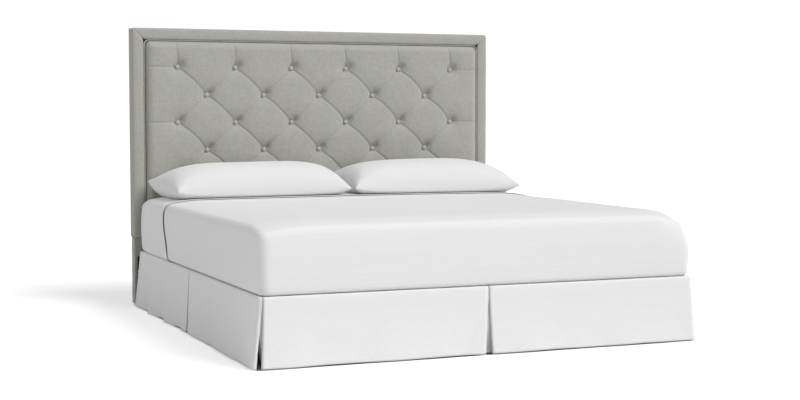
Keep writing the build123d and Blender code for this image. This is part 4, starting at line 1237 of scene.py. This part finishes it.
def fine_cotton(name, colour, threads=1400, crease=0.0012):
    """Plain-woven cotton: fine threads, faint slubs and soft, shallow creases."""
    material, tree, shader = new_material(name)
    thread = {"Scale": threads / 6.283, "Distortion": 0.8}
    warp, weft, upright = [bands(tree, object_coords(tree), axis, **thread) for axis in "XYZ"]
    thread_sum = maths(tree, "ADD", maths(tree, "ADD", warp, weft), upright)
    thread_mix = maths(tree, "MULTIPLY", thread_sum, 0.333)
    slub = noise(tree, object_coords(tree, (60, 60, 420)), 1.0, 2.0)
    soft = noise(tree, object_coords(tree, (3.2, 3.2, 4.6)), 1.0, 3.0, 0.45)
    tone = blend(tree, thread_mix, 0.35, slub, 0.65)
    dark, pale = shades(colour, 0.975, 1.02)
    link(tree, ramp(tree, tone, (0.3, dark), (0.7, pale)), shader.inputs["Base Color"])
    set_sockets(shader, Roughness=0.88, Specular_IOR_Level=0.2, Sheen_Weight=0.06, Sheen_Roughness=0.6)
    creases = bump(tree, shader, soft, crease)
    bump(tree, creases, tone, 0.0002, 0.5)
    return material


SKIRT_WHITE = (0.80, 0.80, 0.80)
SKIRT_CLOTH = 0.0010
DECK_CLOTH = 0.0006
SKIRT_CORNER = 0.012
SIDE_FLARES = (0.026, 0.017, 0.030, 0.028, 0.020, 0.026)
FOOT_FLARE = 0.0065
SHOULDER = 0.009
HEM_HEIGHT = 0.026
SLIT_START = 0.10
DROP_STEP = 0.012
PLEAT_RETURNS = ((0.0015, 0.002), (0.005, 0.006), (0.0085, 0.018))
HEAD_FOLD = 0.0085
HEAD_RIPPLE = 0.0035
BROAD_WAVE = 0.0030
SMALL_WAVE = 0.0012
HEM_FOLD = 0.0006
HEM_SAG = 0.0012
skirt_cotton = fine_cotton("skirt_cotton", SKIRT_WHITE, threads=1100, crease=0.002)
deck_low, deck_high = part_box("skirt_deck")
left_low, left_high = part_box("skirt_panels_left")
SKIRT_HALF = 0.9685
SKIRT_FOOT_Y = -1.0745
SKIRT_HEAD_Y = left_high[1]
SKIRT_TOP = deck_high[2] + 0.0002
HEM_Z = left_low[2]
SIDE_RUN = SKIRT_HEAD_Y - SKIRT_FOOT_Y - SKIRT_CORNER
ARC_RUN = math.pi / 2 * SKIRT_CORNER
FOOT_RUN = 2 * (SKIRT_HALF - SKIRT_CORNER)
SIDE_PLEAT_Y = -0.020
SIDE_END = SIDE_RUN + ARC_RUN
PLEAT_RUN = SKIRT_HEAD_Y - SIDE_PLEAT_Y
WHOLE_RUN = 2 * SIDE_END + FOOT_RUN
FOOT_END = WHOLE_RUN - SIDE_RUN
HEM_LEVEL = 1 - HEM_HEIGHT / (SKIRT_TOP - HEM_Z)


def skirt_outline(run):
    """Place and outward direction at a distance round the skirt from the left head corner."""
    if run <= SIDE_RUN:
        return (-SKIRT_HALF, SKIRT_HEAD_Y - run), (-1, 0)
    if run <= SIDE_END:
        angle = math.pi + (run - SIDE_RUN) / SKIRT_CORNER
        centre = (-SKIRT_HALF + SKIRT_CORNER, SKIRT_FOOT_Y + SKIRT_CORNER)
        facing = (math.cos(angle), math.sin(angle))
        return (centre[0] + SKIRT_CORNER * facing[0], centre[1] + SKIRT_CORNER * facing[1]), facing
    if run <= SIDE_END + FOOT_RUN / 2:
        return (-SKIRT_HALF + SKIRT_CORNER + run - SIDE_RUN - ARC_RUN, SKIRT_FOOT_Y), (0, -1)
    (x, y), (face_x, face_y) = skirt_outline(WHOLE_RUN - run)
    return (-x, y), (-face_x, face_y)


def fold_at(run):
    """How far the hem stands out or in at a distance round the skirt: deeper folds near the head."""
    mirrored = min(run, WHOLE_RUN - run)
    near_head = 1 - smooth_step(0.75, 1.05, mirrored)
    folds = HEAD_FOLD * math.sin(2 * math.pi * mirrored / 0.315 + 0.6 + 0.5 * math.sin(3.1 * mirrored))
    folds += HEAD_RIPPLE * math.sin(2 * math.pi * mirrored / 0.155 + 2.2)
    broad = BROAD_WAVE * math.sin(2 * math.pi * run / 0.52 + 1.0)
    gentle = broad + SMALL_WAVE * math.sin(2 * math.pi * run / 0.21)
    return near_head * folds + (1 - near_head) * gentle


def flare_at(run):
    """How far a side drop leans out at its hem: least at the middle pleat, most at the foot corner."""
    places = (0, PLEAT_RUN, SIDE_END, WHOLE_RUN - SIDE_END, WHOLE_RUN - PLEAT_RUN, WHOLE_RUN)
    return np.interp(run, places, SIDE_FLARES)


def drop_levels():
    """Fractions of the way down a drop: closer at the shoulder, the hem fold and the edge."""
    return [*np.linspace(0.03, HEM_LEVEL - 0.004, 22), HEM_LEVEL, *np.linspace(HEM_LEVEL + 0.012, 1, 4)]


def skirt_drop(name, start, stop, gaps, lean):
    """One hanging drop between two distances round the skirt, with pleat returns at its open ends."""
    open_start, open_stop = start > 0, stop < WHOLE_RUN
    span = stop - start
    columns = [(0.0, share) for share in np.linspace(0, 1, max(8, round(span / DROP_STEP)))]
    if open_start:
        columns = [(depth, back / span) for depth, back in reversed(PLEAT_RETURNS)] + columns
    if open_stop:
        columns += [(depth, 1 - back / span) for depth, back in PLEAT_RETURNS]
    levels = drop_levels()
    points = []
    for depth, share in columns:
        column = []
        for angle in np.radians(np.linspace(0, 80, 6)):
            shoulder_z = SKIRT_TOP - SHOULDER * (1 - math.cos(angle))
            column.append((SHOULDER * (math.sin(angle) - 1), shoulder_z, 0.0))
        for level in levels[1:]:
            column.append((0.0, SKIRT_TOP - (SKIRT_TOP - HEM_Z) * level, level))
        for out, height, level in column:
            open_share = max(0, (level - SLIT_START) / (1 - SLIT_START)) ** 1.1
            first = start + gaps[0] * open_share
            last = stop - gaps[1] * open_share
            run = first + (last - first) * share
            (x, y), (face_x, face_y) = skirt_outline(run)
            swing = fold_at(run) * level**1.7
            hem = HEM_FOLD if level > HEM_LEVEL + 0.001 else 0.0
            calm = smooth_step(0, 0.08, min(share, 1 - share) * span)
            out_total = out + swing * (0.35 + 0.65 * calm) + hem - depth * (0.1 + 0.9 * open_share)
            x += face_x * out_total + lean(share) * flare_at(run) * level**1.1
            y += face_y * (FOOT_FLARE * level**1.1 + out_total)
            sag = HEM_SAG * math.sin(2 * math.pi * run / 0.45) * level**3
            points.append((x, y, height + sag * (1 if height > HEM_Z + 0.002 else 0.5)))
    faces = grid_faces(len(columns), len(points) // len(columns))
    piece = mesh_object(name, points, faces, skirt_cotton)
    thicken(piece, SKIRT_CLOTH)
    return piece


deck_profile = [(0, float(SKIRT_TOP) - 0.0002), (0.002, float(SKIRT_TOP) - 0.0004)]
deck_near = (deck_low[0] + 0.008, deck_low[1] + 0.008)
deck_far = (deck_high[0] - 0.008, deck_high[1] - 0.002)
deck_points, deck_faces, _, _ = slab(deck_near, deck_far, 0.02, deck_profile, 0.05)
skirt_deck = mesh_object("skirt_deck_cloth", deck_points, deck_faces, skirt_cotton)
thicken(skirt_deck, DECK_CLOTH)
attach(skirt_deck, "bed_skirt")
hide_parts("skirt_deck")

PLEAT_GAP = 0.022
FOOT_PLEAT_GAP = 0.015
CORNER_GAP = 0.002
RIGHT_CORNER_GAP = 0.012
HEAD_OVERLAP = -0.008
HALFWAY = WHOLE_RUN / 2
RIGHT_PLEAT_RUN = WHOLE_RUN - PLEAT_RUN
drops = (
    ("left", "head", 0.0, PLEAT_RUN, (0, HEAD_OVERLAP), lambda share: -1.0),
    ("left", "foot", PLEAT_RUN, SIDE_END, (PLEAT_GAP, 0), lambda share: -1.0),
    ("foot", "left", SIDE_END, HALFWAY, (CORNER_GAP, FOOT_PLEAT_GAP), lambda share: -0.35 * (1 - share) ** 4),
    ("foot", "right", HALFWAY, FOOT_END, (FOOT_PLEAT_GAP, 0), lambda share: share**5),
    ("right", "foot", FOOT_END, RIGHT_PLEAT_RUN, (RIGHT_CORNER_GAP, PLEAT_GAP), lambda share: 1.0),
    ("right", "head", RIGHT_PLEAT_RUN, WHOLE_RUN, (HEAD_OVERLAP, 0), lambda share: 1.0),
)
for part, end, start, stop, gaps, lean in drops:
    drop = skirt_drop(f"skirt_drop_{part}_{end}", start, stop, gaps, lean)
    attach(drop, "bed_skirt")
    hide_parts(f"skirt_panels_{part}")

INSERT_SET_BACK = 0.0035
INSERT_TOP = SKIRT_TOP - 0.001
INSERT_ROWS = 20
INSERT_CLOTH = 0.0008
INSERT_TOP_OUT = 0.0065
INSERT_SIDE_IN = 0.036
INSERT_FOOT_IN = 0.014
INSERT_HALF = 0.1


def pleat_insert(name, start, stop):
    """The separate cloth behind a pleat, which hangs straight and further in than the drops."""
    columns = max(10, round((stop - start) / 0.008))
    points = []
    for column in range(columns):
        run = start + (stop - start) * column / (columns - 1)
        (x, y), (face_x, face_y) = skirt_outline(run)
        for level in np.linspace(0.02, 1, INSERT_ROWS):
            back = INSERT_SET_BACK + 0.0006 * math.sin(40 * run)
            to_hem = smooth_step(0.5, 1.0, level)
            side_out = INSERT_TOP_OUT * smooth_step(0.05, 0.4, level) - INSERT_SIDE_IN * to_hem
            foot_out = -INSERT_FOOT_IN * to_hem
            insert_x = x + face_x * (side_out * abs(face_x) - back)
            insert_y = y + face_y * (foot_out * abs(face_y) - back)
            points.append((insert_x, insert_y, INSERT_TOP - (INSERT_TOP - HEM_Z) * level))
    piece = mesh_object(name, points, grid_faces(columns, INSERT_ROWS), skirt_cotton)
    thicken(piece, INSERT_CLOTH)
    return piece


inserts = (
    ("left", PLEAT_RUN), ("corner_left", SIDE_END), ("foot", HALFWAY),
    ("corner_right", WHOLE_RUN - SIDE_END), ("right", RIGHT_PLEAT_RUN),
)
for place_name, middle in inserts:
    insert = pleat_insert(f"pleat_insert_{place_name}", middle - INSERT_HALF, middle + INSERT_HALF)
    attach(insert, "bed_skirt")
    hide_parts("skirt_pleat_inserts")

# ------------------------------------------------------------------ mattress
# A foam mattress in damask ticking. Its top swells a little in the middle and its edges are soft
# and round, drooping slightly towards the corners.

MATTRESS_EDGE_WIDTH = 0.034
MATTRESS_EDGE_DROP = 0.046
MATTRESS_CORNER = 0.039
MATTRESS_SWELL = 0.0045
MATTRESS_CROWN = 0.0050
EDGE_DROOP = 0.0120
DROOP_REACH = 0.15
CORNER_DROOP = 0.5
UNDERSIDE = 0.0030
LOWER_EDGE = 0.020
HEAD_CLEARANCE = 0.0065
EASE_IN = (-0.028, 0.012, -0.009)
mattress_low, mattress_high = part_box("mattress_cover")
MATTRESS_TOP = mattress_high[2] - 0.001


def mattress_rise(x, y):
    """How far the mattress top stands above its rim: crowned in the middle, drooping at the edges."""
    from_side = np.clip((mattress_high[0] - MATTRESS_EDGE_WIDTH - np.abs(x)) / DROOP_REACH, 0, 1)
    from_foot = np.clip((y - mattress_low[1] - MATTRESS_EDGE_WIDTH) / DROOP_REACH, 0, 1)
    from_head = np.clip((mattress_high[1] - MATTRESS_EDGE_WIDTH - y) / DROOP_REACH, 0, 1)
    across = 1 - (x / mattress_high[0]) ** 4
    droop = (1 - from_side) ** 2.2 + 1.3 * (1 - from_foot) ** 2.2 + (1 - from_head) ** 2.2
    droop += CORNER_DROOP * (1 - from_side) ** 1.5 * ((1 - from_foot) ** 1.5 + 0.5 * (1 - from_head) ** 1.5)
    waves = 0.0008 * np.sin(4.1 * x + 1.7 * np.sin(2.3 * y)) * np.sin(3.7 * y + 1.1 * np.sin(2.9 * x))
    return MATTRESS_CROWN * across + waves - EDGE_DROOP * droop


def ease_corner(points):
    """Softens the right foot corner, which is rounder than the left one."""
    x, y, z = points.T
    near = smooth_step(0.78, 0.95, x) * smooth_step(0.80, 1.04, -y)
    height = np.clip((z - 0.39) / 0.13, 0, 1)
    inwards, up = near * height**1.4, near * height
    return points + np.stack([EASE_IN[0] * inwards, EASE_IN[1] * inwards, EASE_IN[2] * up], axis=1)


def mattress_skin(outward):
    """The plan of the mattress's flat top, its corner radius, and its profile moved outwards."""
    underside = mattress_low[2] + UNDERSIDE
    profile = side_profile(
        MATTRESS_EDGE_WIDTH, MATTRESS_EDGE_DROP, MATTRESS_TOP, underside, LOWER_EDGE, MATTRESS_SWELL,
    )
    inset = MATTRESS_EDGE_WIDTH
    low = (mattress_low[0] + inset, mattress_low[1] + inset)
    high = (mattress_high[0] - inset, mattress_high[1] - inset - HEAD_CLEARANCE)
    return low, high, MATTRESS_CORNER - MATTRESS_EDGE_WIDTH, shifted(profile, outward)


mattress = closed_slab("mattress", *mattress_skin(0.0), 0.03, ticking, rise=mattress_rise)
for corner_point in mattress.data.vertices:
    corner_point.co = ease_corner(np.array([corner_point.co]))[0]
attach(mattress, "mattress")
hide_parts("mattress_base", "mattress_comfort_layer", "mattress_cover")

# ------------------------------------------------------------------ fitted sheet
# White cotton percale with elastic corners, pulled over the mattress and tucked under it.

SHEET_WHITE = (0.80, 0.80, 0.80)
FITTED_OUT = 0.0012
percale = fine_cotton("percale", SHEET_WHITE, threads=1600, crease=0.0016)
fitted_points, fitted_faces, _, _ = slab(*mattress_skin(FITTED_OUT), 0.022, rise=mattress_rise)
fitted_sheet = mesh_object("fitted_sheet_cloth", ease_corner(fitted_points), fitted_faces, percale)
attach(fitted_sheet, "mattress")
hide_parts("fitted_sheet")

# ------------------------------------------------------------------ top sheet
# The flat sheet is tucked in at the foot and sides. Its head end is turned back over itself, and
# the free hem lies across the bed just in front of the pillows.

TOP_OUT = 0.0026
TURN_OUT = 0.0030
HEM_Y = 0.420
FOLD_Y = 0.880
HEM_LIFT = 0.0035
LIFT_REACH = 0.030
HEM_WAVE = 0.020
HEM_LEAN = 0.035
TOP_WAVE = 0.003
sheet_cuts = (HEM_Y, FOLD_Y)
points, faces, grid, rings = slab(*mattress_skin(TOP_OUT), 0.018, cuts=sheet_cuts, rise=mattress_rise)
row_y = points[grid[0, :]][:, 1]
fold_row = int(np.argmin(np.abs(row_y - FOLD_Y)))
hem_row = int(np.argmin(np.abs(row_y - HEM_Y)))
columns, rows = grid.shape
rim_size = len(rings[0])


def across_at(row):
    """Point numbers from the left tuck up over the bed and down to the right tuck, at one row."""
    right = columns - 1 + row
    left = (rim_size - row) % rim_size
    going_up = [ring[left] for ring in reversed(rings[1:])]
    going_down = [ring[right] for ring in rings[1:]]
    return [*going_up, *grid[:, row], *going_down]


keep = points[:, 1] <= FOLD_Y + 1e-5
kept_faces = [face for face in faces if all(keep[number] for number in face)]
lower_fold = across_at(fold_row)
turned = []
for row in range(fold_row, hem_row - 1, -1):
    line = points[across_at(row)]
    run = np.gradient(line, axis=0)
    normal = np.stack([-run[:, 2], np.zeros(len(line)), run[:, 0]], axis=1)
    normal /= np.linalg.norm(normal, axis=1)[:, None]
    to_hem = row_y[row] - HEM_Y
    side_drop = np.clip((mattress_high[2] - 0.02 - line[:, 2]) / 0.25, 0, 1)
    loose = 0.12 + 0.88 * smooth_step(0.0, 0.15, side_drop) * (1 - smooth_step(0.75, 1.0, side_drop))
    lift = TURN_OUT + HEM_LIFT * loose * math.exp(-((to_hem / LIFT_REACH) ** 1.5))
    lift *= smooth_step(-0.02, 0.06, FOLD_Y - row_y[row]) * 0.8 + 0.2
    place = line + normal * lift[:, None]
    near_hem = math.exp(-((to_hem / 0.12) ** 2))
    wave = HEM_WAVE * np.sin(2 * math.pi * (side_drop * 0.95 + 0.05)) - HEM_LEAN * side_drop**2
    place[:, 1] += near_hem * wave
    place[:, 1] += near_hem * TOP_WAVE * np.sin(5 * place[:, 0])
    turned.append(place)
cross = len(lower_fold)
lines = [lower_fold]
for row in range(len(turned)):
    lines.append(range(len(points) + row * cross, len(points) + (row + 1) * cross))
for first, second in zip(lines, lines[1:]):
    for number in range(cross - 1):
        kept_faces.append((first[number], first[number + 1], second[number + 1], second[number]))
all_points = np.vstack([points, *turned])
used = sorted({number for face in kept_faces for number in face})
renumber = {number: index for index, number in enumerate(used)}
sheet_faces = [tuple(renumber[number] for number in face) for face in kept_faces]
top_sheet = mesh_object("top_sheet_cloth", ease_corner(all_points[used]), sheet_faces, percale)
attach(top_sheet, "mattress")
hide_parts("top_sheet")

# ------------------------------------------------------------------ pillows
# Two king pillows in plain knife-edge cases. Each is two layers sewn at the edge and filled, so
# its corners stay pointed, its sides draw in between them, and its underside flattens on the bed.

PILLOW_WHITE = (0.745, 0.745, 0.745)
pillow_percale = fine_cotton("pillow_percale", PILLOW_WHITE, threads=1600, crease=0.0016)
PILLOW_COLUMNS = 94
PILLOW_ROWS = 56
PILLOW_PRESSURE = 4.0
FILL_CAP = 0.006
BACK_TIP = 0.638
FRONT_TIP = 0.603
CROWN_DROP = 0.010
ROUND_CORNER = 0.034
SEAM_MIDDLE = 0.584
SEAM_SLOPE = 0.014
END_DRAW = 0.020
EDGE_DRAW = 0.016
LAY_CLEARANCE = 0.0012
FILL_FRAMES = 20


def made_bed(x, y):
    """Height at which a pillow lies on the turned-back sheet."""
    return MATTRESS_TOP + mattress_rise(x, y) + TOP_OUT + TURN_OUT + LAY_CLEARANCE


def toward_edges(count):
    """Places from -1 to 1, closer together at the two ends."""
    even = np.linspace(-1, 1, count)
    return 0.25 * even + 0.75 * np.sin(math.pi / 2 * even)


def filled_case(name, case_low, case_high, side):
    """Two layers joined at a seam that dips between the four corner tips."""
    u, v = np.meshgrid(toward_edges(PILLOW_COLUMNS), toward_edges(PILLOW_ROWS), indexing="ij")
    half_x, half_y = (case_high[0] - case_low[0]) / 2 - 0.001, (case_high[1] - case_low[1]) / 2 - 0.003
    bow = 1 + 0.10 * np.sin(2.1 * u + side) * (1 - u**2)
    end_draw = END_DRAW * np.sign(u) * np.abs(u) ** 5 * (1 - v**2) ** 0.8
    edge_draw = EDGE_DRAW * bow * np.sign(v) * np.abs(v) ** 5 * (1 - u**2) ** 0.8
    x = (case_low[0] + case_high[0]) / 2 + half_x * u - end_draw
    y = (case_low[1] + case_high[1]) / 2 + half_y * v - edge_draw
    if side < 0:
        x += ROUND_CORNER * np.clip(-u, 0, 1) ** 6 * np.clip(-v, 0, 1) ** 3
    back = (1 + v) / 2
    tip = FRONT_TIP + (BACK_TIP - FRONT_TIP) * back
    middle = SEAM_MIDDLE + SEAM_SLOPE * back
    seam = middle + (tip - middle) * np.abs(u) ** 4
    inner_end = (1 - side * u) / 2
    fill = (1 - np.abs(u) ** (3.6 + 1.6 * inner_end)) ** 0.5 * (1 - np.abs(v) ** 2.2) ** 0.5
    fill *= 1 - 0.03 * u**2
    fill *= 1 + 0.025 * np.sin(2.6 * u + 0.9 * side) * np.cos(1.9 * v) - 0.02 * v
    top = seam + (case_high[2] - CROWN_DROP - seam) * fill
    under = seam - (seam - made_bed(x, y)) * np.minimum(1.0, 1.9 * fill**0.9)
    points, faces = [], []
    layers = np.zeros((2, *u.shape), int)
    for layer, height in ((0, top), (1, under)):
        for column in range(PILLOW_COLUMNS):
            for row in range(PILLOW_ROWS):
                at_edge = column in (0, PILLOW_COLUMNS - 1) or row in (0, PILLOW_ROWS - 1)
                if at_edge and layer == 1:
                    layers[1, column, row] = layers[0, column, row]
                    continue
                layers[layer, column, row] = len(points)
                points.append((x[column, row], y[column, row], height[column, row]))
    for layer in (0, 1):
        for column in range(PILLOW_COLUMNS - 1):
            for row in range(PILLOW_ROWS - 1):
                quad = (
                    layers[layer, column, row], layers[layer, column + 1, row],
                    layers[layer, column + 1, row + 1], layers[layer, column, row + 1],
                )
                faces.append(quad if layer == 0 else quad[::-1])
    return mesh_object(name, points, faces, pillow_percale)


def mesh_points(mesh):
    """A mesh's corner points as rows of x, y and z."""
    flat = np.zeros(len(mesh.vertices) * 3)
    mesh.vertices.foreach_get("co", flat)
    return flat.reshape(-1, 3)


def swell_case(piece):
    """Presses the filling against the cloth by simulation, and keeps a capped share of the movement."""
    before = mesh_points(piece.data)
    cloth = piece.modifiers.new("fill", "CLOTH")
    settings = cloth.settings
    settings.quality = 6
    settings.mass = 0.3
    settings.tension_stiffness = 20
    settings.compression_stiffness = 20
    settings.shear_stiffness = 8
    settings.bending_stiffness = 2
    settings.use_pressure = True
    settings.uniform_pressure_force = PILLOW_PRESSURE
    settings.effector_weights.gravity = 0
    for frame_number in range(1, FILL_FRAMES + 1):
        bpy.context.scene.frame_set(frame_number)
    graph = bpy.context.evaluated_depsgraph_get()
    after = mesh_points(piece.evaluated_get(graph).to_mesh())
    moved = after - before
    distance = np.linalg.norm(moved, axis=1)[:, None]
    moved *= np.minimum(1.0, FILL_CAP / np.maximum(distance, 1e-9))
    piece.modifiers.remove(cloth)
    bpy.context.scene.frame_set(1)
    return before + moved


for side_name, side in (("left", -1), ("right", 1)):
    case_low, case_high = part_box(f"pillowcase_{side_name}")
    pillow = filled_case(f"pillow_{side_name}", case_low, case_high, side)
    place = swell_case(pillow)
    place[:, 2] = np.maximum(place[:, 2], made_bed(place[:, 0], place[:, 1]))
    pillow.data.vertices.foreach_set("co", place.ravel())
    pillow.data.update()
    finer = pillow.modifiers.new("finer", "SUBSURF")
    finer.levels = 1
    finer.render_levels = 1
    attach(pillow, f"pillow_{side_name}")
    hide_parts(f"pillow_insert_{side_name}", f"pillowcase_{side_name}")
